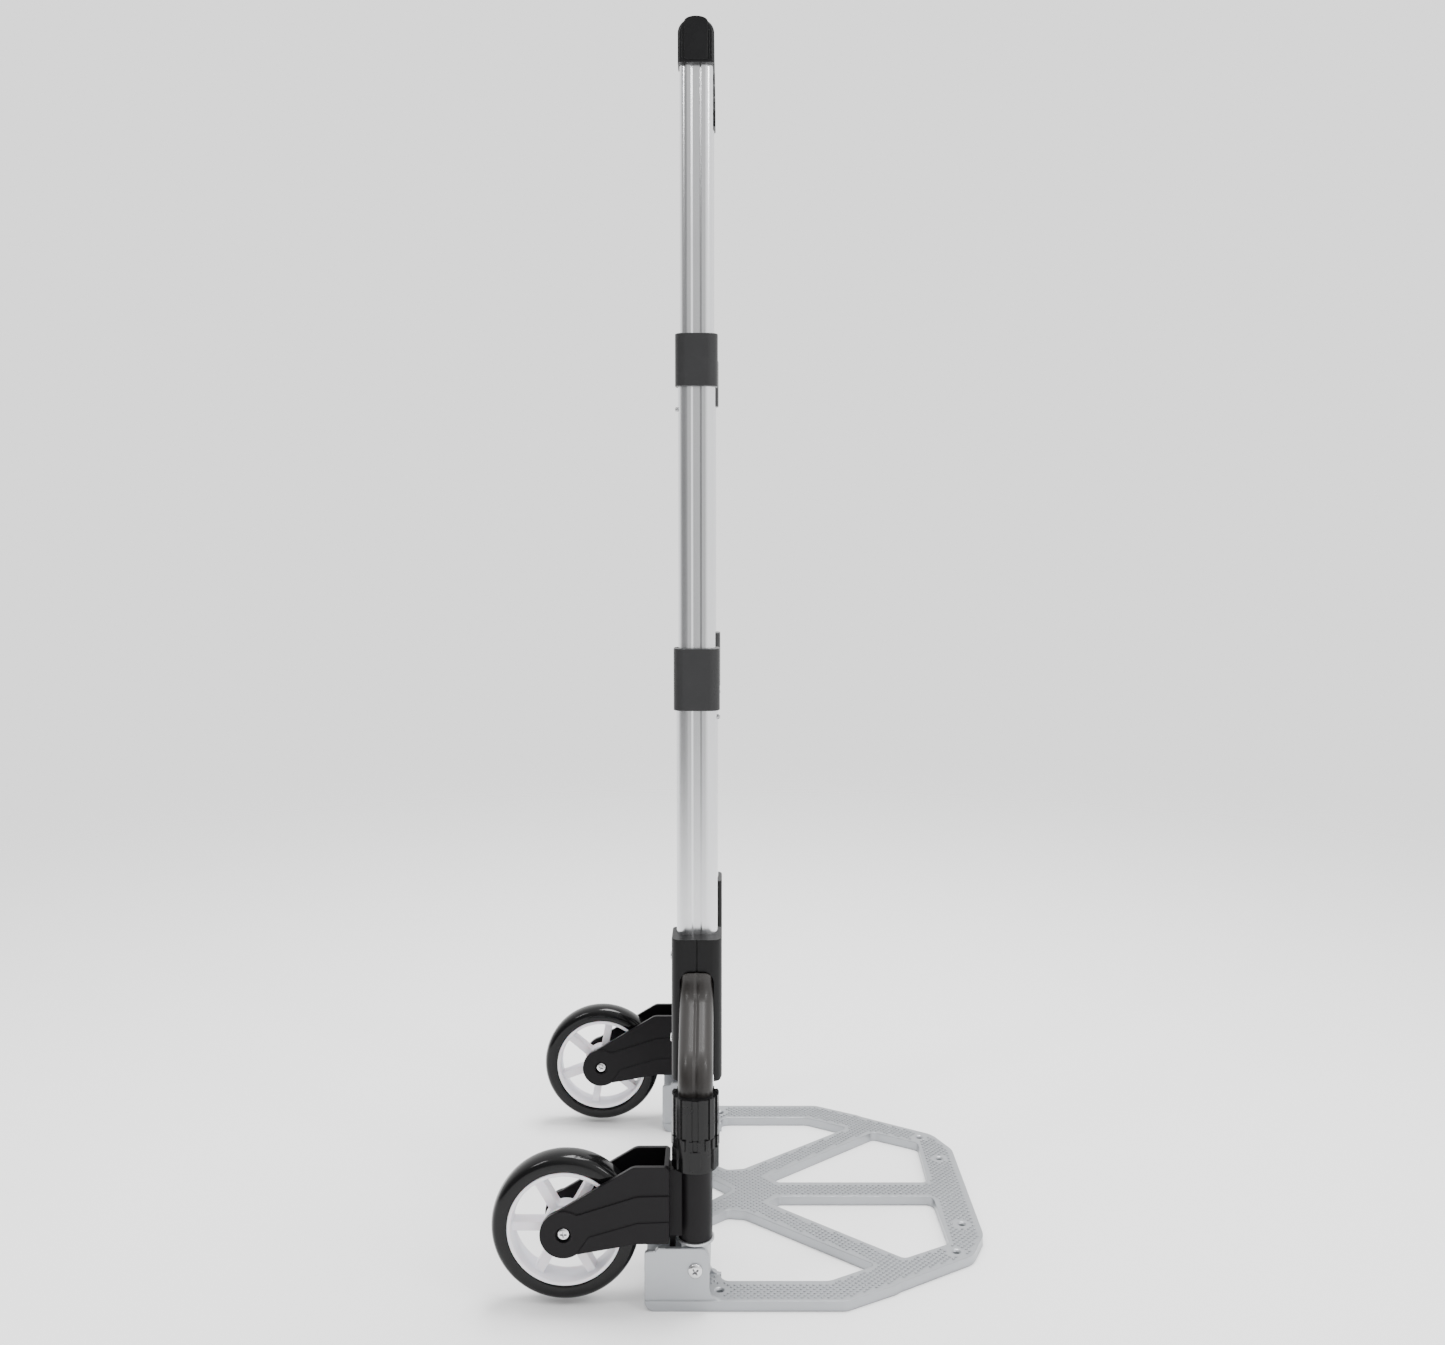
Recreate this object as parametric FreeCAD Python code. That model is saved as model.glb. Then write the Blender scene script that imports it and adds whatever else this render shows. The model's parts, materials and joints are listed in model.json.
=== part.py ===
import FreeCAD, Part
import math
import os

# Folding hand truck with a telescoping double-upright handle, drawn upright on
# its toe plate with the handle pulled out. Millimetres, +Z up.
# +X points where the toe plate reaches, the wheels trail behind on -X.
# The user stands behind the wheels and faces +X, so +Y is the left side.
# Everything is drawn with X = 0 on the plate's hinge line and the floor at
# Z = 0; export() then moves it so that X = 0 is the middle of the footprint.

V = FreeCAD.Vector

# ---- driving dimensions: fits -------------------------------------------------
snug = 0.02              # gap between pieces that are fixed together
running_gap = 0.05       # radial clearance of a shaft that turns in its bore
side_gap = 0.3           # end clearance beside anything that turns
slide_gap = 0.35         # clearance round a tube that slides through a collar

# ---- driving dimensions: wheels -----------------------------------------------
wheel_radius = 63.5
wheel_lift = 5.0         # wheels clear the floor while the plate stands on it
tyre_width = 26.0
tyre_shoulder = 8.0      # corner radius of the tyre's tread
tyre_thickness = 14.5    # from the rim to the tread
rim_wall = 3.0
spoke_count = 6
spoke_width = 6.5
spoke_thickness = 14.0
hub_disc_radius = 17.5
hub_disc_thickness = 16.0
hub_boss_radius = 11.0
hub_boss_length = 28.0
spoke_turn_right = 0.0   # degrees that each wheel happens to be turned
spoke_turn_left = 20.0
bush_radius = 6.5
bush_flange_radius = 9.0
bush_flange_thickness = 1.0
bush_spacing = 4.0       # gap between the two bushes inside the hub
axle_radius = 4.0
axle_head_radius = 5.6
axle_head_thickness = 2.4
axle_recess_radius = 6.6
axle_recess_depth = 3.0

# ---- driving dimensions: wheel arms -------------------------------------------
post_inset = 16.8        # from the plate's side edge to the post's axis and the wheel's mid plane
axle_back = 111.0        # from the post's axis back to the wheel's axle
arm_plate_inner = 17.0   # half the space between the fork's two cheeks
arm_plate_thickness = 4.0
arm_step_1 = 1.2         # height of the first raised step on a cheek
arm_step_2 = 0.8
arm_step_1_drop = 24.4   # top of each step at the front wall, below the cheek's top
arm_step_2_drop = 46.3
arm_level_run = 27.0     # level part of the cheeks, back from the front wall
arm_boss_radius = 20.0
arm_inner_boss_radius = 9.5
barrel_radius = 14.5
barrel_height = 61.7
arm_top_rise = 7.3       # cheeks stand this far above the barrel
arm_heel_rise = 4.0      # lower edge near the barrel, above the barrel's foot
arm_front = 22.0         # front wall of the fork, behind the post's axis
arm_wall = 4.0
arm_neck_half_width = 9.0
splash_wall_gap = 3.5    # the curved wall between the cheeks clears the tyre
splash_wall_foot = 2.0   # above the cheeks' lower edge
splash_wall_drop = 22.0  # below their top
dog_near = 17.0          # fold dog: nearest and farthest from the post's axis
dog_far = 22.0
dog_half_width = 5.5
dog_drop = 8.5
dog_shift = 4.0          # its foot under the fork stands this much farther back

# ---- driving dimensions: posts and clamps -------------------------------------
post_radius = 9.0
post_foot_floor = 2.0    # metal left between the hinge bolt and the post's foot
flange_radius = 16.0
flange_thickness = 2.0
clamp_ring_height = 28.4
clamp_ring_radius = 19.3
clamp_sleeve_height = 35.0
clamp_sleeve_radius = 18.9
clamp_rib_depth = 1.2
clamp_rib_width = 5.0
clamp_rib_count = 12
clamp_floor = 16.0       # solid part of the ring under the leg's end

# ---- driving dimensions: toe plate --------------------------------------------
plate_width = 395.0
plate_reach = 264.7      # hinge line to the plate's front edge
plate_thickness = 9.0
plate_skin = 4.0         # thickness inside the rims, the rest is hollow below
plate_rim = 3.5
plate_lip = 1.3          # the plate's edge stands this far outside its ears
plate_side_bar = 30.5
plate_front_bar = 34.7
plate_cross_bar = 29.0   # centre bar
plate_side_length = 128.5        # where the straight side ends
plate_nose_start = 174.0
plate_nose_inset = 25.5
plate_front_corner = 25.0
rear_bar_back = 21.0
hinge_height = 35.0
ear_thickness = 4.0
ear_spacing = 45.5       # outer face to outer face of one pair of ears
ear_back = 43.0
ear_front = 12.0
ear_height = 54.0
ear_corner = 9.0
ear_gusset = 10.0
ear_notch_back = 32.0
ear_notch = 2.5
hinge_pin_radius = 4.0
hinge_head_radius = 6.4
hinge_head_thickness = 3.0
hinge_block_radius = 13.0
hinge_boss_radius = 12.0
mount_hole_radius = 2.75
mount_sink_radius = 4.4
mount_sink_depth = 1.6
mount_boss_radius = 6.4
mount_front_outer = (234.5, 118.0)     # X from the hinge line, distance from the middle
mount_front_inner = (248.0, 68.0)
mount_rear = (20.5, 181.0)

# ---- driving dimensions: uprights ---------------------------------------------
upright_spacing = 193.4
tube_width = 36.8        # lower tube, front to back
tube_depth = 21.0
tube_wall = 1.5
tube_step = 0.4          # gap between one tube and the next inside it
groove_depth = 0.9       # groove down each side, the same on all three tubes
groove_half_width = 4.7
groove_floor = 3.2       # half width of its floor
groove_lip = 0.3

bracket_height = 128.0
bracket_face = 4.1       # wall in front of and behind the lower tube
bracket_floor = 9.0
bracket_wall = 4.3
bracket_panel_thickness = 16.0
bracket_panel_drop = 12.0        # panel starts this far below the bracket's top
bracket_panel_arch = 34.0
bracket_corner = 9.0             # upright edges on the legs' side
bracket_crease = 1.0             # depth of the crease down the middle of its outer face
bracket_screw_low = 30.0         # above the bracket's foot
bracket_screw_high = 22.0        # below its top
leg_width = 30.0
leg_depth = 19.0
leg_wall = 1.6
leg_crease = 1.2         # depth of the crease down the middle of each flat side
leg_crease_half_width = 2.4
leg_top_straight = 5.33  # straight length above the upper bend
leg_seat_height = 99.0   # the leg's top stands this far above the bracket's foot
leg_top_corner = 9.5
leg_bend_radius = 32.0
leg_angle = 52.0
leg_standoff = 1.6       # between the lower tube and the leg, filled by the bracket
leg_flange = 3.0         # bracket flanges reach this far short of the leg's outer face

lower_collar_bottom = 499.5
lower_collar_height = 55.5
lower_collar_face = 2.35 # wall in front of and behind the tube that a collar holds
lower_collar_side = 3.5  # wall on either side of it
upper_collar_height = 46.1
upper_collar_face = 2.5
upper_collar_side = 3.65
collar_lip = 8.0         # top of a collar, closed in round the sliding tube
collar_corner = 9.0
bridge_thickness = 15.0
bridge_waist = 0.55      # height at mid span over the collar's height
collar_park_gap = 0.6    # between parked collars, and under the parked grip
middle_travel = 231.0
upper_travel = 232.0
middle_overlap = 100.0   # tube left inside the collar below when pulled out
upper_overlap = 97.7
glide_plug = 25.0
glide_shoe = 6.0

button_radius = 2.2
button_hole_clearance = 0.05
button_proud = 2.5
button_reach_in = 0.3    # button ends this far inside the tube's wall
button_below_collar = 6.7
upper_button_below_collar = 19.6
catch_hole_radius = 3.0
keyway_half_width = 2.9
keyway_clearance = 0.6

grip_height = 38.0
grip_face = 1.4          # wall in front of and behind the upper tube
grip_end_reach = 10.6    # past the axis of an upright
grip_crown_radius = 13.0
grip_roof = 7.0
grip_socket_wall_inside = 14.5
grip_arch = 11.0         # how far the underside rises between the sockets
grip_wave = 2.2
grip_wave_count = 4
grip_edge = 3.0
grip_screw_inset = 30.0

screw_head_radius = 3.8
screw_head_height = 2.0
screw_shank_radius = 2.0
screw_shank_length = 3.2

# ---- worked out from the driving dimensions -----------------------------------
plate_half = plate_width / 2
post_y = plate_half - post_inset
upright_y = upright_spacing / 2
rim_radius = wheel_radius - tyre_thickness
hinge_x = (axle_back + wheel_radius - plate_reach) / 2
wheel_z = wheel_radius + wheel_lift
fork_half = arm_plate_inner + arm_plate_thickness + arm_step_1 + arm_step_2
flange_bottom = ear_height + 1.0
flange_top = flange_bottom + flange_thickness
barrel_bottom = flange_top + side_gap
barrel_top = barrel_bottom + barrel_height
arm_heel = barrel_bottom + arm_heel_rise
arm_top = barrel_top + arm_top_rise
axle_seat = arm_plate_inner + arm_plate_thickness + arm_step_1 - axle_recess_depth
ring_bottom = barrel_top + side_gap
ring_top = ring_bottom + clamp_ring_height
sleeve_top = ring_top + clamp_sleeve_height
leg_end = ring_bottom + clamp_floor
post_foot = hinge_height + hinge_pin_radius + post_foot_floor
ear_outer_in = plate_half - ear_thickness
ear_inner_out = plate_half - ear_spacing
ear_inner_in = ear_inner_out + ear_thickness
leg_upper_y = upright_y + tube_depth / 2 + leg_standoff + leg_depth / 2
leg_bend_side = leg_bend_radius * (1 - math.cos(math.radians(leg_angle)))
leg_bend_drop = leg_bend_radius * math.sin(math.radians(leg_angle))
leg_slope_side = post_y - leg_upper_y - 2 * leg_bend_side
leg_slope_drop = leg_slope_side / math.tan(math.radians(leg_angle))
leg_upper_bend = sleeve_top + leg_slope_drop + 2 * leg_bend_drop
leg_top = leg_upper_bend + leg_top_straight
bracket_bottom = leg_top - leg_seat_height
lower_collar_top = lower_collar_bottom + lower_collar_height
upper_collar_bottom = lower_collar_top + middle_travel + collar_park_gap
upper_collar_top = upper_collar_bottom + upper_collar_height
grip_bottom = upper_collar_top + upper_travel + collar_park_gap / 2
grip_top = grip_bottom + grip_height
grip_screw_y = upright_y - grip_screw_inset
grip_screw_z = grip_bottom + grip_arch + grip_wave + screw_head_height     # seat of the heads
lower_tube_bottom = bracket_bottom + bracket_floor
lower_tube_top = lower_collar_top - collar_lip
middle_tube_bottom = lower_collar_top - middle_overlap
middle_tube_top = upper_collar_top - collar_lip
upper_tube_bottom = upper_collar_top - upper_overlap
upper_tube_top = grip_top - grip_roof
middle_inset = tube_wall + tube_step
upper_inset = 2 * middle_inset
bracket_width = tube_width + 2 * bracket_face
lower_collar_width = tube_width + 2 * lower_collar_face
lower_collar_depth = tube_depth + 2 * lower_collar_side
upper_collar_width = tube_width - 2 * middle_inset + 2 * upper_collar_face
upper_collar_depth = tube_depth - 2 * middle_inset + 2 * upper_collar_side
grip_width = tube_width - 2 * upper_inset + 2 * grip_face
lower_button_z = lower_collar_bottom - button_below_collar
upper_button_z = upper_collar_bottom - upper_button_below_collar


# ---- drawing helpers ----------------------------------------------------------
def box(x0, x1, y0, y1, z0, z1):
    """A block between two opposite corners."""
    return Part.makeBox(x1 - x0, y1 - y0, z1 - z0, V(x0, y0, z0))


def rod(radius, x, y, z, length, axis=V(0, 0, 1)):
    """A cylinder that starts at a point and runs along an axis."""
    return Part.makeCylinder(radius, length, V(x, y, z), axis)


def rounded_wire(corners, to_space):
    """A closed outline from (u, v, radius) corners, each rounded by its radius."""
    starts = []
    ends = []
    arcs = []
    count = len(corners)
    for i, (u, v, radius) in enumerate(corners):
        here = V(u, v, 0)
        before = V(corners[i - 1][0], corners[i - 1][1], 0) - here
        after = V(corners[(i + 1) % count][0], corners[(i + 1) % count][1], 0) - here
        before.normalize()
        after.normalize()
        half = before.getAngle(after) / 2
        cut = radius / math.tan(half)
        starts.append(here + before * cut)
        ends.append(here + after * cut)
        middle = (before + after).normalize() if radius > 0 else V(0, 0, 0)
        reach = radius / math.sin(half) - radius
        arcs.append(here + middle * reach)
    edges = []
    for i in range(count):
        if corners[i][2] > 0:
            edges.append(Part.Arc(*map(to_space, (starts[i], arcs[i], ends[i]))).toShape())
        gap = starts[(i + 1) % count] - ends[i]
        if gap.Length > 1e-5:
            edges.append(Part.makeLine(to_space(ends[i]), to_space(starts[(i + 1) % count])))
    return Part.Wire(Part.__sortEdges__(edges))


def slab_xy(corners, z0, z1):
    """An outline in plan, given thickness upwards."""
    wire = rounded_wire(corners, lambda p: V(p.x, p.y, z0))
    return Part.Face(wire).extrude(V(0, 0, z1 - z0))


def slab_xz(corners, y0, y1):
    """An outline seen from the side, given thickness along Y."""
    wire = rounded_wire(corners, lambda p: V(p.x, y0, p.y))
    return Part.Face(wire).extrude(V(0, y1 - y0, 0))


def rounded_block(width, depth, radius, z0, z1, y=0.0):
    """A block centred on X = 0 with rounded upright edges."""
    a = width / 2
    b = depth / 2
    corners = [(-a, y - b, radius), (a, y - b, radius), (a, y + b, radius), (-a, y + b, radius)]
    return slab_xy(corners, z0, z1)


def upright_section(inset, slack, z0, z1):
    """One telescoping tube's outline, filled: round ends and a groove down each side.

    The slack is taken off the groove's width, for a bore that fits over the tube.
    """
    a = tube_width / 2 - inset
    b = tube_depth / 2 - inset
    quarter = [(a, b, b), (groove_half_width - slack, b, groove_lip),
               (groove_floor - slack, b - groove_depth, 1.0)]
    corners = quarter + [(-u, v, r) for u, v, r in reversed(quarter)]
    corners += [(-u, -v, r) for u, v, r in quarter] + [(u, -v, r) for u, v, r in reversed(quarter)]
    return slab_xy(corners, z0, z1)


def oval_section(inset, z0, z1):
    """A tube's plain bore, or what slides in it."""
    return capsule(tube_width - 2 * inset, tube_depth - 2 * inset, 0, 0, z0, z1)


def upright_tube(inset, z0, z1):
    """A hollow telescoping tube standing on X = Y = 0."""
    return upright_section(inset, 0, z0, z1).cut(oval_section(inset + tube_wall, z0 - 1, z1 + 1))


def capsule(width, depth, x, y, z0, z1):
    """An upright oval bar: flat sides and round ends along X."""
    a = width / 2
    b = depth / 2
    corners = [(x - a, y - b, b), (x + a, y - b, b), (x + a, y + b, b), (x - a, y + b, b)]
    return slab_xy(corners, z0, z1)


def pan_screw(x, y, z, axis):
    """A small pan-head screw; the point given is under its head, the axis points out."""
    head = rod(screw_head_radius, x, y, z, screw_head_height, axis)
    rim = head.Edges[0] if head.Edges[0].CenterOfMass.sub(V(x, y, z)).Length > 1 else head.Edges[2]
    head = head.makeFillet(screw_head_height / 2, [rim])
    return head.fuse(rod(screw_shank_radius, x, y, z, screw_shank_length, -axis)).removeSplitter()


def mirrored(shape):
    """The same piece on the other side of the truck."""
    return shape.mirror(V(0, 0, 0), V(0, 1, 0))


# ---- wheel: drawn at its place on the left side (+Y) ----------------------------
def revolve_about_axle(profile):
    """Turn a (radius, offset along the axle) outline round the left wheel's axle."""
    wire = rounded_wire(profile, lambda p: V(-axle_back, post_y + p.y, wheel_z + p.x))
    return Part.Face(wire).revolve(V(-axle_back, post_y, wheel_z), V(0, 1, 0), 360)


def axle_rod(radius, y0, y1):
    """A cylinder on the left wheel's axle between two offsets from its mid plane."""
    return rod(radius, -axle_back, post_y + y0, wheel_z, y1 - y0, V(0, 1, 0))


def make_tyre():
    half = tyre_width / 2
    bead = rim_radius + snug
    profile = [
        (bead, -half + 1.0, 0), (bead + 3.0, -half, 1.5), (wheel_radius, -half, tyre_shoulder),
        (wheel_radius, half, tyre_shoulder), (bead + 3.0, half, 1.5), (bead, half - 1.0, 0),
    ]
    return revolve_about_axle(profile)


def make_hub(turn):
    half = tyre_width / 2
    rim_inside = rim_radius - rim_wall
    rim = revolve_about_axle([
        (rim_inside, -half, 1.0), (rim_radius, -half, 1.0),
        (rim_radius, half, 1.0), (rim_inside, half, 1.0),
    ])
    hub = rim.fuse(axle_rod(hub_disc_radius, -hub_disc_thickness / 2, hub_disc_thickness / 2))
    hub = hub.fuse(axle_rod(hub_boss_radius, -hub_boss_length / 2, hub_boss_length / 2))
    axle = V(-axle_back, post_y, wheel_z)
    for i in range(spoke_count):
        reach = rim_radius - rim_wall / 2
        spoke = box(0, reach, -spoke_thickness / 2, spoke_thickness / 2,
                    -spoke_width / 2, spoke_width / 2)
        spoke.translate(axle)
        spoke.rotate(axle, V(0, 1, 0), turn + i * 360.0 / spoke_count)
        hub = hub.fuse(spoke)
    bore = axle_rod(bush_radius + snug, -hub_boss_length, hub_boss_length)
    return hub.cut(bore).removeSplitter()


def make_wheel_bushes():
    """Two flanged bushes, pressed in from each end of the hub."""
    half = hub_boss_length / 2
    bushes = []
    for side in (-1, 1):
        sleeve = axle_rod(bush_radius, *sorted((side * bush_spacing / 2, side * half)))
        flange = axle_rod(bush_flange_radius, *sorted((side * half, side * (half + bush_flange_thickness))))
        bore = axle_rod(axle_radius + running_gap, -2 * half, 2 * half)
        bushes.append(sleeve.fuse(flange).cut(bore).removeSplitter())
    return Part.Compound(bushes)


# ---- wheel arm, left side --------------------------------------------------------
def cheek_outline(top_line):
    """Side outline of a fork cheek below a top line of (x, z, radius) corners."""
    return top_line + [
        (-arm_front, arm_heel, 2.0), (-arm_front - arm_level_run, arm_heel, 8.0),
        (-axle_back + 12.0, wheel_z - arm_boss_radius + 4.0, 0),
        (-axle_back, wheel_z - arm_boss_radius + 6.0, 0),
        (-axle_back - 8.0, wheel_z, 0),
    ]


def make_cheek():
    """One cheek of the fork, outside on +Y, drawn about Y = 0; steps face outwards."""
    level = -arm_front - arm_level_run
    full = [(-axle_back - 12.5, wheel_z + 15.0, 0), (level - 3.0, arm_top, 12.0), (-arm_front, arm_top, 4.0)]
    top_1 = arm_top - arm_step_1_drop
    step_1 = [(-axle_back + 2.0, wheel_z + 19.0, 0), (-axle_back + 12.0, wheel_z + 17.0, 2.0),
              (level, top_1 - 0.6, 10.0), (-arm_front, top_1, 0)]
    top_2 = arm_top - arm_step_2_drop
    step_2 = [(-axle_back + 12.0, wheel_z - 15.0, 0), (-axle_back + 21.5, wheel_z - 1.5, 2.0),
              (level, top_2 - 1.2, 10.0), (-arm_front, top_2, 0)]
    low = [(-arm_front, arm_heel, 2.0), (level, arm_heel, 8.0),
           (-axle_back + 12.0, wheel_z - arm_boss_radius + 3.9, 0)]
    y = arm_plate_inner
    levels = [arm_plate_thickness, arm_step_1, arm_step_2]
    cheek = None
    for outline, depth in zip((cheek_outline(full), cheek_outline(step_1), step_2 + low), levels):
        layer = slab_xz(outline, y, y + depth)
        cheek = layer if cheek is None else cheek.fuse(layer)
        y += depth
    boss = rod(arm_boss_radius, -axle_back, arm_plate_inner, wheel_z,
               arm_plate_thickness + arm_step_1, V(0, 1, 0))
    inner_reach = arm_plate_inner - hub_boss_length / 2 - bush_flange_thickness - side_gap
    inner = rod(arm_inner_boss_radius, -axle_back, arm_plate_inner - inner_reach, wheel_z,
                inner_reach + 1.0, V(0, 1, 0))
    return cheek.fuse(boss).fuse(inner)


def make_wheel_arm():
    cheek = make_cheek()
    arm = cheek.fuse(mirrored(cheek))
    inner = arm_plate_inner + 0.5
    front = box(-arm_front - arm_wall, -arm_front, -inner, inner, arm_heel, arm_top)
    arm = arm.fuse(front)
    wall_radius = wheel_radius + splash_wall_gap
    ring = rod(wall_radius + arm_wall, -axle_back, -inner, wheel_z, 2 * inner, V(0, 1, 0))
    ring = ring.cut(rod(wall_radius, -axle_back, -inner - 1, wheel_z, 2 * inner + 2, V(0, 1, 0)))
    low = arm_heel + splash_wall_foot
    arm = arm.fuse(ring.common(box(-axle_back, -arm_front, -inner, inner, low, arm_top - splash_wall_drop)))
    arm = arm.fuse(rod(barrel_radius, 0, 0, barrel_bottom, barrel_height))
    neck = box(-arm_front - 1.0, -barrel_radius / 2, -arm_neck_half_width, arm_neck_half_width,
               arm_heel, barrel_top)
    arm = arm.fuse(neck)
    arm = arm.cut(rod(post_radius + running_gap, 0, 0, barrel_bottom - 1, barrel_height + 2))
    reach = 3 * fork_half
    arm = arm.cut(rod(axle_radius + snug, -axle_back, -reach, wheel_z, 2 * reach, V(0, 1, 0)))
    for side in (-1, 1):
        arm = arm.cut(rod(axle_recess_radius, -axle_back, side * axle_seat, wheel_z, 2 * axle_recess_depth,
                          V(0, side, 0)))
    arm = arm.removeSplitter()
    arm.translate(V(0, post_y, 0))
    return arm


def make_fold_dog():
    """Lug under the arm that drops into the space between the plate's ears."""
    foot = arm_heel - snug
    drop = barrel_bottom - dog_drop
    lug = box(-dog_far - dog_shift, -dog_near - dog_shift, -dog_half_width, dog_half_width,
              barrel_bottom + 1, foot)
    lug = lug.fuse(box(-dog_far, -dog_near, -dog_half_width, dog_half_width, drop, foot))
    lug = lug.removeSplitter()
    lug.translate(V(0, post_y, 0))
    return lug


def make_axle_bolt():
    """Shoulder bolt from the outer cheek through to the inner one."""
    shaft = axle_rod(axle_radius, -axle_seat, axle_seat)
    head = axle_rod(axle_head_radius, axle_seat, axle_seat + axle_head_thickness)
    return shaft.fuse(head).removeSplitter()


def make_axle_nut():
    return axle_rod(axle_head_radius, -axle_seat - axle_head_thickness, -axle_seat - snug)


# ---- toe plate ----------------------------------------------------------------------
def plate_openings():
    """The plate's cut-outs as (x, y, corner radius) outlines, left side then middle."""
    side = plate_half - plate_side_bar
    middle = plate_cross_bar / 2
    front = plate_reach - plate_front_bar
    rear_side = [
        (0.0, 66.0, 6.0), (28.0, 41.5, 7.0), (45.0, 44.0, 7.0), (160.0, 141.0, 5.0),
        (116.0, side, 14.0), (24.0, side, 8.0), (17.0, 147.0, 6.0), (0.0, 138.0, 6.0),
    ]
    front_side = [
        (79.0, middle, 4.0), (front - 1.0, middle, 8.0), (front + 1.0, 104.0, 9.0),
        (186.0, 130.0, 6.0), (67.0, 27.0, 4.0),
    ]
    centre = [(-6.5, -42.0, 5.0), (34.0, 0.0, 6.0), (-6.5, 42.0, 5.0)]
    return rear_side, front_side, centre


def plate_outline():
    """Half of the plate's plan outline on +Y, from the middle of the front edge back."""
    nose_y = plate_half - plate_nose_inset
    return [
        (plate_reach, 88.0, plate_front_corner), (plate_nose_start + 75.0, nose_y - 48.0, plate_front_corner),
        (plate_nose_start + 4.0, nose_y - 3.0, 3.0), (plate_nose_start - 1.0, nose_y + 1.5, 3.0),
        (plate_side_length, plate_half + plate_lip, 12.0), (-ear_back, plate_half + plate_lip, 0),
        (-ear_back, ear_inner_out, 0), (-rear_bar_back, ear_inner_out - 6.0, 5.0),
    ]


def flipped(outline):
    """The outline on the other side of the middle, walked the other way."""
    return [(x, -y, r) for x, y, r in reversed(outline)]


def make_ear(y0, y1):
    """An upright ear of the plate with its hinge hole, seen from the side."""
    outline = [
        (-ear_back, 0.0, ear_corner), (ear_front + ear_gusset, 0.0, 0),
        (ear_front + ear_gusset, plate_thickness, 0), (ear_front, plate_thickness, ear_gusset - 0.5),
        (ear_front, ear_height, ear_corner), (-ear_notch_back, ear_height, 0),
        (-ear_notch_back - 2.0, ear_height - ear_notch, 0), (-ear_back, ear_height - ear_notch, 3.0),
    ]
    ear = slab_xz(outline, y0, y1)
    return ear.cut(rod(hinge_pin_radius + snug, 0, y0 - 1, hinge_height, y1 - y0 + 2, V(0, 1, 0)))


def make_toe_plate():
    half = plate_outline()
    plan = half + flipped(half)
    wire = rounded_wire(plan, lambda p: V(p.x, p.y, 0))
    rear_side, front_side, centre = plate_openings()
    holes = [rear_side, front_side, centre, flipped(rear_side), flipped(front_side)]
    wires = [wire] + [rounded_wire(hole, lambda p: V(p.x, p.y, 0)) for hole in holes]
    face = Part.Face(wires, "Part::FaceMakerBullseye")
    solid_plate = face.extrude(V(0, 0, plate_thickness))
    hollow = face.makeOffset2D(-plate_rim)
    plate = solid_plate.cut(hollow.extrude(V(0, 0, plate_thickness - plate_skin)))
    for y in (-1, 1):
        sides = sorted((y * (plate_half + plate_lip), y * ear_inner_out))
        floor = box(-ear_back, ear_front, *sides, 0, plate_thickness)
        plate = plate.fuse(floor)
    rounding = slab_xz([(-ear_back, 0, ear_corner), (plate_reach, 0, 0),
                        (plate_reach, plate_thickness, 0), (-ear_back, plate_thickness, 0)],
                       -plate_half - plate_lip, plate_half + plate_lip)
    plate = plate.common(rounding)
    for low, high in ((ear_inner_out, ear_inner_in), (ear_outer_in, plate_half)):
        ear = make_ear(low, high)
        plate = plate.fuse(ear).fuse(mirrored(ear))
    for x, y in (mount_front_outer, mount_front_inner, mount_rear):
        for side in (-1, 1):
            boss = rod(mount_boss_radius, x, side * y, 0, plate_thickness)
            plate = plate.fuse(boss.common(solid_plate))
            plate = plate.cut(rod(mount_hole_radius, x, side * y, -1, plate_thickness + 2))
            plate = plate.cut(Part.makeCone(mount_hole_radius, mount_sink_radius, mount_sink_depth,
                                            V(x, side * y, plate_thickness - mount_sink_depth)))
    return plate.removeSplitter()


def make_hinge_bolt():
    """Pan-head bolt through both ears of the left pair and the hinge block."""
    shaft = rod(hinge_pin_radius, 0, ear_inner_out, hinge_height, ear_spacing, V(0, 1, 0))
    head = rod(hinge_head_radius, 0, plate_half, hinge_height, hinge_head_thickness, V(0, 1, 0))
    return shaft.fuse(head).removeSplitter()


def make_hinge_nut():
    return rod(hinge_head_radius, 0, ear_inner_out - snug, hinge_height, hinge_head_thickness, V(0, -1, 0))


# ---- hinge block, post, clamp and leg, left side ---------------------------------------
def make_hinge_block():
    """Cast block between the ears; the bolt runs through it and the post stands in it."""
    low = ear_inner_in + 2 * side_gap
    high = ear_outer_in - 2 * side_gap
    block = rod(hinge_block_radius, 0, low, hinge_height, high - low, V(0, 1, 0))
    block = block.fuse(rod(hinge_boss_radius, 0, post_y, hinge_height, flange_bottom - hinge_height + 1))
    block = block.fuse(rod(flange_radius, 0, post_y, flange_bottom, flange_thickness))
    bore = rod(hinge_pin_radius + running_gap, 0, low - 1, hinge_height, high - low + 2, V(0, 1, 0))
    block = block.cut(bore)
    block = block.cut(rod(post_radius + snug, 0, post_y, post_foot, flange_top - post_foot + 1))
    return block.removeSplitter()


def make_post():
    """Steel post: stands in the hinge block, carries the arm's barrel and the clamp."""
    foot = post_foot + snug
    return rod(post_radius, 0, post_y, foot, leg_end - snug - foot)


def clamp_ribs(radius, z0, z1, count, width, phase):
    """Upright ribs standing round a sleeve on the post's axis."""
    ribs = []
    for i in range(count):
        rib = box(radius - 1.0, radius + clamp_rib_depth, -width / 2, width / 2, z0, z1)
        rib.rotate(V(0, 0, 0), V(0, 0, 1), phase + i * 360.0 / count)
        rib.translate(V(0, post_y, 0))
        ribs.append(rib)
    return ribs


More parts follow.
